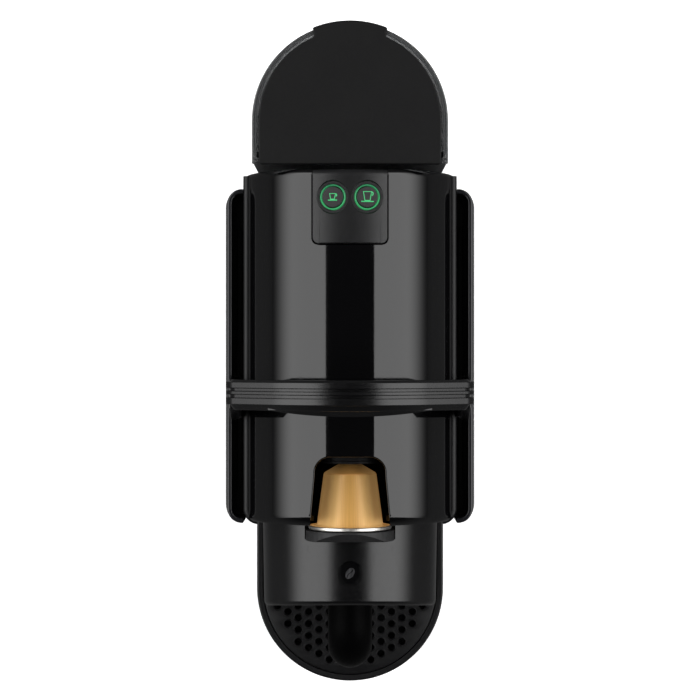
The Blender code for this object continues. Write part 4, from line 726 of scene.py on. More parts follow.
def make_base():
    low = BASE_LOW.z
    plate = prism("base", AXIS_Z, rounded_rectangle((BASE_LOW.x, BASE_LOW.y), (BASE_HIGH.x, 0.0905),
                                                    0.007), low, BASE_FLOOR, 0.001, 0.0004)
    walls = prism("walls", AXIS_Z, rounded_rectangle((-BASE_OUTER_X, -0.058), (BASE_OUTER_X, 0.090),
                                                     0.001, 3),
                  BASE_FLOOR - 0.001, BASE_WALL_TOP)
    room = prism("room", AXIS_Z, rounded_rectangle((-BASE_ROOM_X, -0.0035), (BASE_ROOM_X, 0.087),
                                                   0.001, 3),
                 BASE_FLOOR, BASE_WALL_TOP + 0.01)
    way = box("way", (-BASE_ROOM_X, -0.07, BASE_FLOOR), (BASE_ROOM_X, -0.006, BASE_WALL_TOP + 0.01))
    join(plate, walls)
    cut(plate, room, way)
    platform = prism("platform", AXIS_Z, d_shape(PLATFORM_RADIUS, TANK_CENTRE_Y, 0.0865, 1),
                     low + 0.0002, BASE_HIGH.z, 0.0012, 0.0010)
    join(plate, platform)
    hollow = prism("hollow", AXIS_Z, d_shape(PLATFORM_RADIUS - 0.0025, TANK_CENTRE_Y, 0.0805, 1),
                   BASE_FLOOR, BASE_HIGH.z - 0.003)
    rear_y = TANK_CENTRE_Y + PLATFORM_RADIUS
    cut(plate, hollow, rod("socket_hole", (0, VALVE_Y, 0.020), (0, VALVE_Y, 0.035),
                    SOCKET_HOLE_RADIUS),
        rod("gland_hole", (0, rear_y - 0.01, GLAND_Z), (0, rear_y + 0.01, GLAND_Z),
            GLAND_RADIUS))
    for x in (-SCREW_X, SCREW_X):
        cut(plate, rod("screw_hole", (x, SCREW_Y, 0), (x, SCREW_Y, 0.010), SCREW_HOLE_RADIUS, 24))
    piece(plate, "base_moulding", "matte_black", "housing", "base_plate")


def make_feet():
    for place in ("front_left", "front_right", "rear_left", "rear_right"):
        low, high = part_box("foot_" + place)
        radius, height = (high.x - low.x) / 2, high.z
        middle = ((low.x + high.x) / 2, (low.y + high.y) / 2, 0)
        profile = [(0, 0.0006), (radius * 0.45, 0.0006), (radius * 0.52, 0.0)]
        profile += [(radius - 0.0012 + r, 0.0012 + h) for r, h in arc((0, 0), 0.0012, -90, 0, 6)]
        profile += [(radius, height), (0, height)]
        piece(turned("foot", profile, middle, (0, 0, 1), 64), "pad_" + place, "rubber", "housing",
              "foot_" + place)


def make_cable_gland():
    low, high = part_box("cable_gland")
    radius = high.x
    profile = [(0.0034, 0.0), (0.0060, 0.0), (0.0066, 0.0003), (radius, 0.0008), (radius, 0.0014),
               (0.0050, 0.0014), (0.0050, high.y - low.y), (0.0034, high.y - low.y)]
    gland = turned("gland", profile, (0, high.y, (low.z + high.z) / 2), (0, -1, 0), 64)
    piece(gland, "cable_entry", "rubber", "housing", "cable_gland")


# ---- head and spout
def slanted(ring, y):
    """Leans a ring at y back towards its top, all the way at the head's front and not at its rear."""
    share = (HEAD_HIGH.y - y) / (HEAD_HIGH.y - HEAD_TOP_FRONT)
    return [(x, y - share * HEAD_SLANT * (HEAD_HIGH.z - z), z) for x, z in ring]


def make_head():
    front, rear, bottom, wall = HEAD_TOP_FRONT, HEAD_HIGH.y, HEAD_LOW.z, HEAD_WALL
    stations = [(inset, front + along) for inset, along in quarter_round(0.0024, 0.0020, 9)]
    stations += [(0.0, front + 0.004 + (rear - front - 0.0045) * i / 6) for i in range(1, 7)]
    stations += [(inset, rear - along) for inset, along in reversed(quarter_round(0.0004))]
    outline = arch(HEAD_RADIUS, HEAD_AXIS_Z, bottom, 0.0030)
    cover = loft("head", [slanted(set_in(outline, inset + 0.0007 * (rear - y) / (rear - front)), y)
                          for inset, y in stations])
    inside = arch(HEAD_RADIUS - wall, HEAD_AXIS_Z, bottom + wall, 0.002)
    hollow = loft("hollow", [slanted(inside, front + wall), slanted(inside, rear),
                             [(x, rear + 0.01, z) for x, z in inside]])
    notch = prism("notch", AXIS_Z, rounded_rectangle((-NOTCH_X, NOTCH_FRONT), (NOTCH_X, -0.050), 0.0006, 4),
                  0.172, 0.230)
    spout_hole = rod("spout_hole", (0, front - 0.012, SPOUT_Z), (0, front + 0.01, SPOUT_Z),
                     SPOUT_RADIUS + GAP)
    seat = rod("seat", (0, BADGE_Y, 0.1960), (0, BADGE_Y, 0.2), BADGE_RADIUS + GAP, 96)
    cut(cover, hollow, notch, spout_hole, seat)
    strip_outline = rounded_rectangle((-STRIP_HALF_WIDTH, STRIP_FRONT), (STRIP_HALF_WIDTH, STRIP_REAR),
                                      0.0006, 4)
    strip = prism("strip", AXIS_Z, strip_outline, HEAD_HIGH.z - 0.008, HEAD_HIGH.z + 0.004)
    sleeve = prism("sleeve", AXIS_Y, arch(HEAD_RADIUS - STRIP_DEPTH, HEAD_AXIS_Z, 0.100, 0.002),
                   STRIP_FRONT - 0.0074, STRIP_REAR + 0.0050)
    cut(strip, sleeve)
    cut(cover, strip)
    piece(cover, "head_casing", "satin_black", "housing", "head_cover")


def bean_half(side, length, width, gap, steps=20):
    """Half of a coffee bean, split by an S-shaped crease, seen from above."""
    outer = [(side * width * x, length * y) for x, y in arc((0, 0), 1.0, 90, -90, steps)]
    return outer + [(side * gap + 0.22 * width * sin(v * pi), length * v * 0.94)
                    for v in evenly(-1, 1, steps)[1:-1]]


def make_badge():
    z = BADGE_HIGH.z
    profile = [(0, 0), (BADGE_RADIUS, 0), (BADGE_RADIUS, z - BADGE_LOW.z - 0.0002),
               (BADGE_RADIUS - 0.0002, z - BADGE_LOW.z), (BADGE_RADIUS - 0.0005, z - BADGE_LOW.z),
               (BADGE_RADIUS - 0.0006, z - BADGE_LOW.z - 0.0002), (0, z - BADGE_LOW.z - 0.0002)]
    disc = turned("badge", profile, (0, BADGE_Y, BADGE_LOW.z), (0, 0, 1))
    piece(disc, "badge_disc", "gloss_black", "housing", "head_badge")
    lean = radians(BEAN_LEAN)
    for name, side in SIDES:
        half = bean_half(side, BEAN_HALF_LENGTH, BEAN_HALF_WIDTH, BEAN_GAP)[::side]
        outline = [(x * cos(lean) - y * sin(lean),
                    BADGE_Y + x * sin(lean) + y * cos(lean)) for x, y in half]
        bean = prism("bean", AXIS_Z, outline, z - 0.0003, z + 0.0001)
        piece(bean, "badge_bean_" + name, "steel", "housing", material=BEAN_FINISH)


def make_spout():
    """A bent tube with a rounded lip, open from its root inside the head to its tip."""
    root = HEAD_TOP_FRONT
    centre = (SPOUT_Y + SPOUT_BEND, SPOUT_Z - SPOUT_BEND)
    route = [(0, root + along, SPOUT_Z) for along in (0.0050, 0.0016, 0.0015, -0.0016, -0.0017)]
    ways = [(0, -1, 0)] * 5
    radii = [SPOUT_RADIUS + out for out in (0.0, 0.0, 0.003, 0.003, 0.0)]
    for y in evenly(root - 0.0020, centre[0], 5):
        route.append((0, y, SPOUT_Z))
        ways.append((0, -1, 0))
    for y, z in arc((0, 0), 1.0, 90, 180, 24)[1:]:
        route.append((0, centre[0] + SPOUT_BEND * y, centre[1] + SPOUT_BEND * z))
        ways.append((0, -z, y))
    for z in evenly(centre[1], SPOUT_TIP + SPOUT_LIP, 5)[1:]:
        route.append((0, SPOUT_Y, z))
        ways.append((0, 0, -1))
    radii += [SPOUT_RADIUS] * (len(route) - len(radii))
    inwards = [SPOUT_BORE] * len(route)
    back, ways_back = list(reversed(route)), list(reversed(ways))
    wall = (SPOUT_RADIUS - SPOUT_BORE) / 2
    for out, down in arc((0, 0), 1.0, 0, 180, 12)[1:-1]:
        route.append((0, SPOUT_Y, SPOUT_TIP + SPOUT_LIP - SPOUT_LIP * down))
        ways.append((0, 0, -1))
        radii.append(SPOUT_RADIUS - wall + wall * out)
    route, ways, radii = route + back, ways + ways_back, radii + inwards
    piece(path_tube("spout", route, ways, radii), "spout", "satin_black", "housing",
          "coffee_spout", material=SPOUT_FINISH, angle=50)


# ---- capsule
def make_capsule():
    low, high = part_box("capsule_body")
    middle_z, rim, rear = (low.z + high.z) / 2, high.x, high.y
    front, flange_rear, wall = low.y, low.y + 0.0009, 0.0006
    outer = [(0.0, rear - 0.0001), (0.0022, rear - 0.0001), (0.0026, rear), (0.0050, rear),
             (0.0056, rear - 0.0003), (0.0114, rear - 0.0037), (0.0119, rear - 0.0044),
             (0.0149, flange_rear + 0.0008), (0.0152, flange_rear + 0.0002),
             (0.0157, flange_rear), (rim - 0.0008, flange_rear)]
    curl = arc((rim - 0.00045, front + 0.00045), 0.00045, 90, -90, 8)[1:]
    inner = [(0.0150 - wall, front), (0.0119 - wall, rear - 0.0056), (0.0104, rear - 0.0040),
             (0.0080, rear - 0.0021), (0.0046, rear - wall), (0.0, rear - wall)]
    body = turned("capsule", outer + curl + inner, (0, 0, middle_z), (0, 1, 0), 128)
    piece(body, "capsule_shell", "gold_aluminium", "capsule", "capsule_body", angle=28)
    foil_low, foil_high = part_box("capsule_foil")
    edge = rim + 0.0002
    sheet = [(0.0, foil_low.y), (edge - 0.0004, foil_low.y), (edge, foil_low.y + 0.0005),
             (edge, flange_rear - 0.0001), (edge - 0.0003, flange_rear + 0.0002),
             (edge - 0.0007, flange_rear + 0.0002), (edge - 0.0007, flange_rear + 0.0001),
             (edge - 0.0001, flange_rear - 0.0001), (edge - 0.0001, foil_high.y),
             (0.0, foil_high.y)]
    lid = turned("foil", sheet, (0, 0, middle_z), (0, 1, 0), 128)
    piece(lid, "capsule_lidding", "foil", "capsule", "capsule_foil")


# ---- lever
def arch_stations():
    """Points (x, z) along the bar's arch, right to left, each with its normal's lean from upright."""
    centre_z = BAR_TOP - ARM_OUTER_X
    crown_x = ARM_OUTER_X * sin(ARCH_SWEEP)
    shoulder_x = ARM_OUTER_X - SHOULDER_RADIUS
    slope = (shoulder_x + SHOULDER_RADIUS * sin(ARCH_SWEEP) - crown_x) * tan(ARCH_SWEEP)
    drop = slope + SHOULDER_RADIUS * cos(ARCH_SWEEP)
    shoulder_z = centre_z + ARM_OUTER_X * cos(ARCH_SWEEP) - drop
    right = [(ARM_OUTER_X, shoulder_z - 0.006, pi / 2)]
    right += [(shoulder_x + SHOULDER_RADIUS * sin(lean),
               shoulder_z + SHOULDER_RADIUS * cos(lean), lean)
              for lean in evenly(pi / 2, ARCH_SWEEP, 14)]
    top = [(ARM_OUTER_X * sin(lean), centre_z + ARM_OUTER_X * cos(lean), lean)
           for lean in evenly(ARCH_SWEEP, -ARCH_SWEEP, 60)]
    return right + top + [(-x, z, -lean) for x, z, lean in reversed(right)]


def underside(x):
    reach = min(max(abs(x) - UNDERSIDE_FLAT, 0.0), UNDERSIDE_RADIUS * 0.85)
    return BAR_BOTTOM - UNDERSIDE_RADIUS + sqrt(UNDERSIDE_RADIUS ** 2 - reach ** 2)


def bar_section(depth):
    """The bar across its arch, as (y, height over the arch), with two broad ribs and a narrow one."""
    front, rear, groove = BAR_Y - BAR_THICKNESS / 2, BAR_Y + BAR_THICKNESS / 2, -0.0012
    outline = arc((front + 0.0006, 0.0006 - depth), 0.0006, 180, 270, 4)
    outline += arc((rear - 0.0006, 0.0006 - depth), 0.0006, 270, 360, 4)
    outline += arc((rear - 0.0009, -0.0024), 0.0009, 0, 50, 4)
    for middle, half in BAR_RIBS:
        reach, edge = half - RIB_ROUND, RIB_HEIGHT - RIB_ROUND
        outline.append((BAR_Y + middle + half, groove))
        outline += arc((BAR_Y + middle + reach, edge), RIB_ROUND, 0, 90, 6)
        outline += arc((BAR_Y + middle - reach, edge), RIB_ROUND, 90, 180, 6)
        outline.append((BAR_Y + middle - half, groove))
    return outline + arc((front + 0.0012, -0.0036), 0.0012, 115, 180, 6)


def make_lever():
    front, rear = BAR_Y - BAR_THICKNESS / 2, BAR_Y + BAR_THICKNESS / 2
    rings = []
    for x, z, lean in arch_stations():
        depth = max(ARM_OUTER_X - ARM_INNER_X, (z - underside(x)) * cos(lean))
        rings.append([(x + h * sin(lean), y, z + h * cos(lean))
                      for y, h in bar_section(depth)])
    bar = loft("bar", rings)
    shoulder_z, hub_y = rings[0][0][2], PIVOT_Y - HUB_OFFSET
    arm = [(rear - 0.0006, shoulder_z + 0.002), (front + 0.0006, shoulder_z + 0.002),
           (front, shoulder_z), (hub_y - HUB_RADIUS, 0.2170)]
    arm += arc((hub_y, PIVOT_Z), HUB_RADIUS, 180, 360, 48)
    arm += [(hub_y + HUB_RADIUS, 0.2170), (rear, shoulder_z)]
    arms = []
    for side in (-1, 1):
        low, high = sorted((side * ARM_INNER_X, side * (ARM_OUTER_X - 0.00025)))
        arms.append(prism(f"arm_{side}", AXIS_X, arm, low, high, 0.0008, 0.0008))
    slopes = []
    for s in evenly(-1, 1, 40):
        x, tip = PUSHER_HALF_WIDTH * s, front + 0.0003 - PUSHER_DEPTH * (1 - s * s)
        low = underside(x) + 0.0004
        high = low + 0.0012 + 0.0022 * (1 - s * s)
        slopes.append([(x, front + 0.003, low), (x, front + 0.003, high), (x, front + 0.0004, high),
                       (x, tip, low + 0.0010), (x, tip, low)])
    join(bar, *arms, loft("pusher", slopes))
    cut(bar, across_pivot("bore", LEVER_BORE_RADIUS))
    piece(bar, "lever_handle", "satin_black", "lever_arm", "lever")
    for name, side in SIDES:
        x = side * (ARM_OUTER_X - 0.00035)
        cap = turned("cap", [(0, 0), (0.0052, 0), (0.0052, 0.0004), (0.0048, 0.0007), (0, 0.0009)],
                     (x, PIVOT_Y, PIVOT_Z), (side, 0, 0), 64)
        piece(cap, "pivot_cap_" + name, "satin_black", "lever_arm")


# ---- controls
def on_button_axis(side, radius):
    return Vector((side * radius * sin(BUTTON_TILT), BUTTON_Y,
                   BARREL_AXIS_Z + radius * cos(BUTTON_TILT)))


def button_way(side):
    return Vector((side * sin(BUTTON_TILT), 0, cos(BUTTON_TILT)))


def on_button(name, side, profile, segments=96):
    """A profile of (radius, distance from the barrel's axis) turned round a button's axis."""
    start = on_button_axis(side, 0.0)
    return turned(name, profile, start, button_way(side), segments)


def make_control_panel():
    inner, outer, edge = 0.0463, BARREL_RADIUS, BARREL_CROWN_ROUND
    profile = [(inner, PANEL_FRONT - 0.002), (outer, PANEL_FRONT - 0.002)]
    profile += arc((outer - edge, BARREL_REAR - GAP - edge), edge, 0, 60, 10)
    profile += [(inner, BARREL_REAR - GAP - edge * (1 - sin(radians(60))))]
    panel = loft("panel", [[(r * u, y, BARREL_AXIS_Z + r * v) for r, y in profile]
                           for u, v in arc((0, 0), 1.0, 65, 115, 64)])
    keep_inside(panel, surface_plug("panel_plan", panel_outline(0), 0.0004, 0.004, True))
    for side in (-1, 1):
        cut(panel, on_button("recess", side, [(0, 0.0476), (RECESS_RADIUS - 0.0003, 0.0476),
                                              (RECESS_RADIUS, 0.0479), (RECESS_RADIUS, 0.0482),
                                              (RECESS_RADIUS + 0.0004, 0.0487),
                                              (RECESS_RADIUS + 0.0004, 0.0520), (0, 0.0520)]),
            on_button("ring_way", side, [(0, 0.0400), (RING_OUTER + GAP, 0.0400),
                                         (RING_OUTER + GAP, 0.0520), (0, 0.0520)]))
    piece(panel, "control_plate", "satin_black", "housing", "control_panel", material=PANEL_FINISH)


def stroke(name, side, points, cyclic):
    """A thin raised line on a button's cap, its points in the cap's own plane."""
    mesh = curve_mesh(name, [points], STROKE_WIDTH, cyclic)
    up = button_way(side)
    turn = Matrix(((up.z, 0, -up.x), (0, 1, 0), up)).transposed().to_4x4()
    flat = Matrix.Diagonal((1, 1, STROKE_FLATNESS, 1))
    mesh.transform(Matrix.Translation(on_button_axis(side, STROKE_LEVEL)) @ turn @ flat)
    return linked(name, mesh)


def make_cup_icon(side, body, size, height):
    """A line drawing of a cup with a handle on its saucer."""
    top, foot, low, high = 1.25 * size, 0.80 * size, -0.75 * height, 1.15 * height
    cup = [(-top, high), (-foot, low), (foot, low), (top, high)]
    handle = arc((top * 0.98, high - 0.62 * size), 0.52 * size, 78, -80, 10)
    saucer = [(-1.95 * size, low - 0.00042), (1.95 * size, low - 0.00042)]
    key = "espresso" if side < 0 else "lungo"
    for part, points in (("cup", cup), ("handle", handle), ("saucer", saucer)):
        piece(stroke(part, side, points, part == "cup"), f"icon_{key}_{part}", "green_light", body,
              material=ICON_FINISH, angle=60, weighted=False)


def make_buttons():
    for name, side in (("espresso", -1), ("lungo", 1)):
        radius = BUTTON_RADIUS
        cap = [(0, 0.0403), (0.0025, 0.0403), (0.0025, 0.0420), (radius, 0.0420), (radius, 0.0477)]
        cap += [(radius - 0.0004 + r, 0.0477 + h) for r, h in arc((0, 0), 0.0004, 0, 90, 6)]
        cap += [(radius * 0.55, 0.04806), (0, 0.04802)]
        piece(on_button("cap", side, cap), "key_" + name, "matte_black", name + "_key",
              "button_" + name)
        ring = [(RING_INNER, 0.0445), (RING_OUTER, 0.0445), (RING_OUTER, 0.0477),
                (RING_OUTER - 0.0002, 0.0479), (RING_INNER + 0.0002, 0.0479), (RING_INNER, 0.0477)]
        piece(on_button("ring", side, ring), "glow_ring_" + name, "green_light", "housing",
              "light_ring_" + name)
    make_cup_icon(-1, "espresso_key", 0.00104, 0.00130)
    make_cup_icon(1, "lungo_key", 0.00144, 0.00205)


# ---- tank and lid
def tank_ring(z, inset):
    return level(d_shape(TANK_RADIUS - inset, TANK_CENTRE_Y, TANK_LOW.y + inset, 1), z)


def make_tank():
    bottom, top, wall = TANK_BOTTOM, TANK_HIGH.z, TANK_WALL
    stations = [(bottom + along, inset) for inset, along in quarter_round(0.0022)]
    stations += [(bottom + 0.020, 0.0003), (bottom + 0.090, 0.0003), (top - 0.0085, 0.0003),
                 (top - 0.0078, 0.0)]
    stations += [(top - along, inset) for inset, along in reversed(quarter_round(0.0006))]
    stations += [(top, 0.0009), (top - 0.0005, 0.0011), (top - 0.0005, 0.0013), (top, 0.0015),
                 (top, wall - 0.0003), (top - 0.0003, wall), (bottom + 0.0045, wall),
                 (bottom + 0.0030, wall + 0.0006), (bottom + 0.0025, wall + 0.0022)]
    tank = loft("tank", [tank_ring(z, inset) for z, inset in stations])
    join(tank, rod("outlet", (0, VALVE_Y, TANK_LOW.z), (0, VALVE_Y, TANK_BOTTOM + 0.001),
                   OUTLET_RADIUS))
    cut(tank, rod("outlet_bore", (0, VALVE_Y, 0.01), (0, VALVE_Y, 0.05), OUTLET_BORE),
        box("lid_way", (-0.0412, 0.090, 0.203), (0.0412, 0.1002, 0.220)),
        rod("pin_holes", (-0.05, LID_PIN_Y, LID_PIN_Z), (0.05, LID_PIN_Y, LID_PIN_Z),
            LID_PIN_RADIUS + GAP, 24))
    piece(tank, "tank_vessel", "smoked_clear", "tank", "water_tank")


def lid_outline(lip):
    """The lid from above. With a lip, its rear middle stands out over the tank's rim."""
    reach = LID_HIGH.y - TANK_CENTRE_Y
    tilt = degrees(acos(LID_LIP_HALF_WIDTH / (LID_RADIUS + 0.002)))
    points = []
    for i in range(181):
        angle = float(i)
        radius = LID_RADIUS
        if lip:
            edge = min(angle - tilt, 180 - tilt - angle)
            share = max(0.0, min(1.0, edge / 1.6 + 0.5))
            radius += (reach - LID_RADIUS) * share * share * (3 - 2 * share)
        a = radians(angle)
        points.append((radius * cos(a), TANK_CENTRE_Y + radius * sin(a)))
    corner = 0.0012
    return (points + arc((-LID_RADIUS + corner, LID_FRONT + corner), corner, 180, 270, 5)
            + arc((LID_RADIUS - corner, LID_FRONT + corner), corner, 270, 360, 5))


def make_lid():
    low, top = LID_BOTTOM, LID_HIGH.z
    lip_low = TANK_HIGH.z + GAP
    plain, lipped = lid_outline(False), lid_outline(True)
    rings = [level(set_in(plain, inset), low + along)
             for inset, along in quarter_round(0.0004, steps=3)]
    rings += [level(plain, lip_low), level(set_in(lipped, 0.0003), lip_low),
              level(set_in(lipped, 0.0), lip_low + 0.0002)]
    rings += [level(set_in(lipped, inset), top - along)
              for inset, along in reversed(quarter_round(0.0007))]
    lid = loft("lid", rings)
    parts = []
    for side in (-1, 1):
        parts.append(rod("pin", (side * 0.0385, LID_PIN_Y, LID_PIN_Z),
                         (side * 0.0432, LID_PIN_Y, LID_PIN_Z), LID_PIN_RADIUS, 32))
        inner, outer = sorted((side * 0.037, side * 0.0400))
        parts.append(box("lug", (inner, LID_PIN_Y - 0.002, LID_PIN_Z - 0.002),
                         (outer, LID_PIN_Y + 0.002, LID_BOTTOM + 0.001)))
    join(lid, *parts)
    piece(lid, "tank_cover", "lid_black", "lid", "tank_lid")


# ---- drip tray, grid and container
def make_tray():
    low, top, rim = TRAY_LOW.z, TRAY_HIGH.z, TRAY_RIM

    def ring(z, inset):
        return level(d_shape(TRAY_RADIUS - inset, TRAY_CENTRE_Y, TRAY_SHOULDER_Y - inset, -1), z)

    stations = [(low + along, inset) for inset, along in quarter_round(0.0025)]
    stations += [(low + 0.012, 0.0), (top - 0.010, 0.0)]
    stations += [(top - along, inset) for inset, along in reversed(quarter_round(0.0011))]
    tray = loft("tray", [ring(z, inset) for z, inset in stations])
    tongue = box("tongue", (-TONGUE_HALF_WIDTH, TRAY_SHOULDER_Y - 0.01, low + 0.0002),
                 (TONGUE_HALF_WIDTH, TONGUE_REAR, top - 0.0004))
    join(tray, tongue)
    inner = TRAY_RADIUS - rim
    lead_in = ((-0.0028, 0.0), (-0.0005, 0.0), (-0.0002, 0.0001), (0.0001, 0.0004), (0.01, 0.0004))
    seat = loft("seat", [level(d_shape(inner + out, TRAY_CENTRE_Y, TRAY_SHOULDER_Y - rim, -1), top + up)
                         for up, out in lead_in])
    basin = prism("basin", AXIS_Z, d_shape(inner - 0.0012, TRAY_CENTRE_Y, TRAY_SHOULDER_Y - rim, -1),
                  low + 0.0025, top + 0.01, 0.002)
    well = box("well", (-TONGUE_HALF_WIDTH + 0.0025, -0.075, low + 0.0025),
               (TONGUE_HALF_WIDTH - 0.0025, TONGUE_REAR - 0.0025, top + 0.01))
    cut(tray, seat, basin, well)
    piece(tray, "tray_body", "satin_black", "drip_drawer", "drip_tray", material=TRAY_FINISH)


def hole_centres():
    centres = []
    for column in range(-7, 8):
        shift = 0.5 * (column % 2)
        for row in range(-8, 9):
            x, y = column * HOLE_PITCH_X, TRAY_CENTRE_Y + (row + shift) * HOLE_PITCH_Y
            if hypot(x, y - TRAY_CENTRE_Y) < HOLE_FIELD and y < GRID_HIGH.y - 0.004:
                centres.append((x, y))
    return centres


def make_grid():
    """A plate with round holes, each with a raised collar round it."""
    top, bottom = GRID_HIGH.z, GRID_LOW.z
    outline = d_shape(GRID_HIGH.x, TRAY_CENTRE_Y, GRID_HIGH.y, -1)

    def circles(radius, steps=28):
        return [arc(centre, radius, 0, 360 - 360 / steps, steps - 1) for centre in hole_centres()]

    bm = bmesh.new()
    for edge, radius, z in ((set_in(outline, 0.0005), HOLE_COLLAR, top), (outline, HOLE_RADIUS, bottom)):
        mesh = curve_mesh("fill", [edge, *circles(radius)])
        mesh.transform(Matrix.Translation((0, 0, z)))
        bm.from_mesh(mesh)
        bpy.data.meshes.remove(mesh)
    edges = [(0.0005, top), (0.00015, top - 0.00015), (0.0, top - 0.0005), (0.0, bottom)]
    walls = [[level(set_in(outline, inset), z) for inset, z in edges]]
    collar = ((HOLE_COLLAR, 0.0), (HOLE_COLLAR - 0.00012, COLLAR_HEIGHT * 0.6),
              (HOLE_COLLAR - 0.00030, COLLAR_HEIGHT), (HOLE_RADIUS + 0.00022, COLLAR_HEIGHT),
              (HOLE_RADIUS + 0.00005, COLLAR_HEIGHT * 0.5), (HOLE_RADIUS, 0.0))
    collars = [[level(ring, top + rise) for ring in circles(radius)] for radius, rise in collar]
    walls += list(zip(*collars, [level(ring, bottom) for ring in circles(HOLE_RADIUS)]))
    for wall in walls:
        made = [[bm.verts.new(p) for p in ring] for ring in wall]
        bridge(bm, zip(made, made[1:]))
    bmesh.ops.remove_doubles(bm, verts=bm.verts, dist=2e-6)
    piece(new_object("grid", bm), "cup_grid_plate", "satin_black", "cup_grid", "drip_grid",
          material=TRAY_FINISH, weighted=False)


def make_container():
    low, high, wall = BIN_LOW, BIN_HIGH, BIN_WALL
    half, front, rear, bottom = BIN_HALF_WIDTH, low.y, high.y, low.z
    outline = rounded_rectangle((-half, front), (half, rear), 0.006)
    container = prism("bin", AXIS_Z, outline, bottom, high.z, 0.0015, 0.0006)
    hollow = prism("bin_hollow", AXIS_Z, set_in(outline, wall), bottom + wall, high.z + 0.01, 0.002)
    cut(container, hollow)
    ledge = box("ledge", (low.x, -0.060, bottom), (high.x, rear, bottom + wall))
    cut(ledge, box("ledge_gap", (-LEDGE_GAP_X, -0.061, 0.04), (LEDGE_GAP_X, -0.011, 0.05)))
    join(container, ledge)
    piece(container, "capsule_bin", "matte_black", "drip_drawer", "capsule_container")


# ---- carried-over CAD nodes
def dress_cad_nodes():
    """Gives every CAD node the node material of its slot, except the brew cage and its seal, seen through
    the capsule opening, which get a near-black matte finish as painted shade.
    """
    for node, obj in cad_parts.items():
        for material_slot in obj.material_slots:
            name = material_slot.material.name.split(".")[0]
            material_slot.material = CAGE_PAINTED_SHADE_FINISH if node in SHADED_IN_OPENING else FINISHES[name]


# ---- stage
def light_card(name, side):
    """A soft light: a curved card over one side of the object, which fades towards its low edge."""
    rows = []
    for angle in evenly(CARD_INNER, CARD_OUTER, CARD_STEPS):
        a = radians(angle)
        x, z = side * CARD_DISTANCE * sin(a), CARD_AXIS_Z + CARD_DISTANCE * cos(a)
        rows.append([(x, CARD_FRONT, z), (x, CARD_REAR, z)])
    points = [point for row in rows for point in row]
    faces = [(2 * i, 2 * i + 1, 2 * i + 3, 2 * i + 2) for i in range(CARD_STEPS)]
    mesh = bpy.data.meshes.new(name)
    mesh.from_pydata(points, [], faces)
    uv = mesh.uv_layers.new(name="across")
    for loop, corner in zip(mesh.loops, uv.data):
        corner.uv = (loop.vertex_index // 2 / CARD_STEPS, loop.vertex_index % 2)
    card = linked(name, mesh)
    material = bpy.data.materials.new(name)
    material.use_nodes = True
    tree = material.node_tree
    tree.nodes.clear()
    where = add_node(tree, "ShaderNodeUVMap")
    where.uv_map = "across"
    split = add_node(tree, "ShaderNodeSeparateXYZ", Vector=where.outputs["UV"])
    fade = add_node(tree, "ShaderNodeMapRange", Value=split.outputs["X"], From_Min=CARD_PLATEAU,
                    To_Min=CARD_BRIGHT, To_Max=CARD_DIM)
    fade.interpolation_type = "SMOOTHSTEP"
    glow = add_node(tree, "ShaderNodeEmission", Strength=fade.outputs["Result"])
    add_node(tree, "ShaderNodeOutputMaterial", Surface=glow.outputs["Emission"])
    mesh.materials.append(material)
    card.visible_camera = False
    card.visible_shadow = False


def make_world():
    """A dim studio: nearly black overhead, greyer round the sides and below."""
    world = bpy.data.worlds.new("studio")
    world.use_nodes = True
    tree = world.node_tree
    up = add_node(tree, "ShaderNodeTexCoord").outputs["Generated"]
    split = add_node(tree, "ShaderNodeSeparateXYZ", Vector=up)
    rescale = add_node(tree, "ShaderNodeMapRange", Value=split.outputs["Z"], From_Min=-1.0)
    ramp = add_node(tree, "ShaderNodeValToRGB", Fac=rescale.outputs["Result"])
    stops = ramp.color_ramp.elements
    while len(stops) < len(WORLD_SHADES):
        stops.new(0.5)
    for stop, (height, shade) in zip(stops, WORLD_SHADES):
        stop.position = (height + 1) / 2
        stop.color = (shade, shade, shade, 1.0)
    tree.links.new(ramp.outputs["Color"], tree.nodes["Background"].inputs["Color"])
    bpy.context.scene.world = world


def make_stage():
    floor_mesh = bpy.data.meshes.new("floor")
    corners = [(-FLOOR_REACH, -FLOOR_REACH), (FLOOR_REACH, -FLOOR_REACH), (FLOOR_REACH, FLOOR_REACH),
               (-FLOOR_REACH, FLOOR_REACH)]
    floor_mesh.from_pydata(level(corners, 0), [], [(0, 1, 2, 3)])
    floor = linked("floor", floor_mesh)
    finish = Finish("floor_finish", 0.9, Emission_Color=(1.0, 1.0, 1.0, 1.0),
                    Emission_Strength=FLOOR_GLOW)
    finish.colour(finish.mix(finish.noise(3.0), (0.88, 0.88, 0.88), (0.90, 0.90, 0.90)))
    floor_mesh.materials.append(finish.material)
    floor.visible_glossy = False
    light_card("soft_light_left", -1)
    light_card("soft_light_right", 1)
    make_world()


def make_camera():
    data = bpy.data.cameras.new("camera")
    data.sensor_width = 36.0
    data.lens = CAMERA_LENS
    camera = linked("camera", data)
    camera.location = CAMERA_PLACE
    bpy.context.scene.camera = camera
    bpy.context.scene.view_settings.view_transform = "Standard"


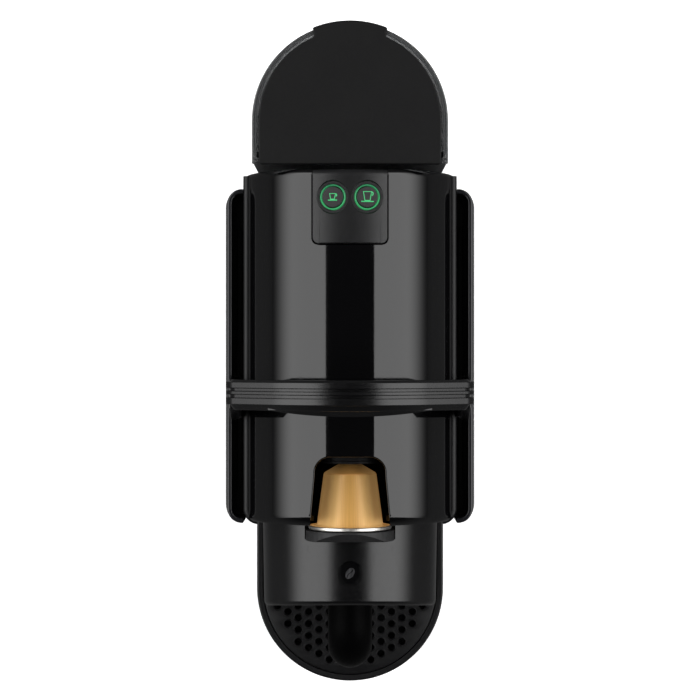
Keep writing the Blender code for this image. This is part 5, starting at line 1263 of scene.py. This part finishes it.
# Camera straight above, and the studio's soft cards, as angles from straight up
CAMERA_PLACE, CAMERA_LENS = (0.0, 0.0141, 1.100), 102.75
CARD_INNER, CARD_OUTER, CARD_PLATEAU, CARD_STEPS = 26.5, 94.0, 0.55, 16
CARD_DISTANCE, CARD_AXIS_Z, CARD_FRONT, CARD_REAR = 1.1, 0.215, -0.55, 1.3
CARD_BRIGHT, CARD_DIM = 3.0, 0.10
FLOOR_GLOW, FLOOR_REACH = 0.60, 6.0
WORLD_SHADES = ((-1.0, 0.12), (-0.65, 0.09), (-0.2, 0.16), (0.1, 0.12), (0.4, 0.02))

BEAN_FINISH = metal("bean_finish", (0.12, 0.12, 0.125), (0.20, 0.20, 0.21), 0.35, 900.0, 0.00002,
                    (1.0, 0.1, 1.0))
# painted light: a lighter copy of the gloss black for the cheeks and their shaded groove
CHEEK_PAINTED_LIGHT_FINISH = gloss_plastic("cheek_painted_light_finish", 0.013)
# painted shade: the parts seen deep in the capsule opening get a near-black matte finish in place of their
# own
SHADED_IN_OPENING = ("brew_cage", "cage_seal")
CAGE_PAINTED_SHADE_FINISH = moulded("cage_painted_shade_finish", (0.0040, 0.0040, 0.0044), (0.0060, 0.0060, 0.0064), 0.55, 0.05,
                      1500.0, 0.00004, IOR=1.20)
PANEL_FINISH = moulded("panel_finish", (0.0065, 0.0065, 0.0070), (0.0085, 0.0085, 0.0090), 0.37, 0.03,
                       2600.0, 0.00003, IOR=1.43)
TRAY_FINISH = moulded("tray_finish", (0.0030, 0.0030, 0.0034), (0.0045, 0.0045, 0.0050), 0.40, 0.05,
                      2400.0, 0.00005, IOR=1.36)
SPOUT_FINISH = moulded("spout_finish", (0.0005, 0.0005, 0.0006), (0.0009, 0.0009, 0.0010), 0.50, 0.05,
                       2600.0, 0.00003, IOR=1.10, Sheen_Weight=0.02, Sheen_Roughness=0.30)

make_camera()
make_barrel()
for side_name, side_way in SIDES:
    make_cheek(side_way, side_name)
for side_name, side_way in SIDES:
    make_shoulder(side_way, side_name)
make_base()
make_feet()
make_cable_gland()
make_head()
make_badge()
make_spout()
make_capsule()
make_lever()
make_control_panel()
make_buttons()
make_tank()
make_lid()
make_tray()
make_grid()
make_container()
dress_cad_nodes()
make_stage()
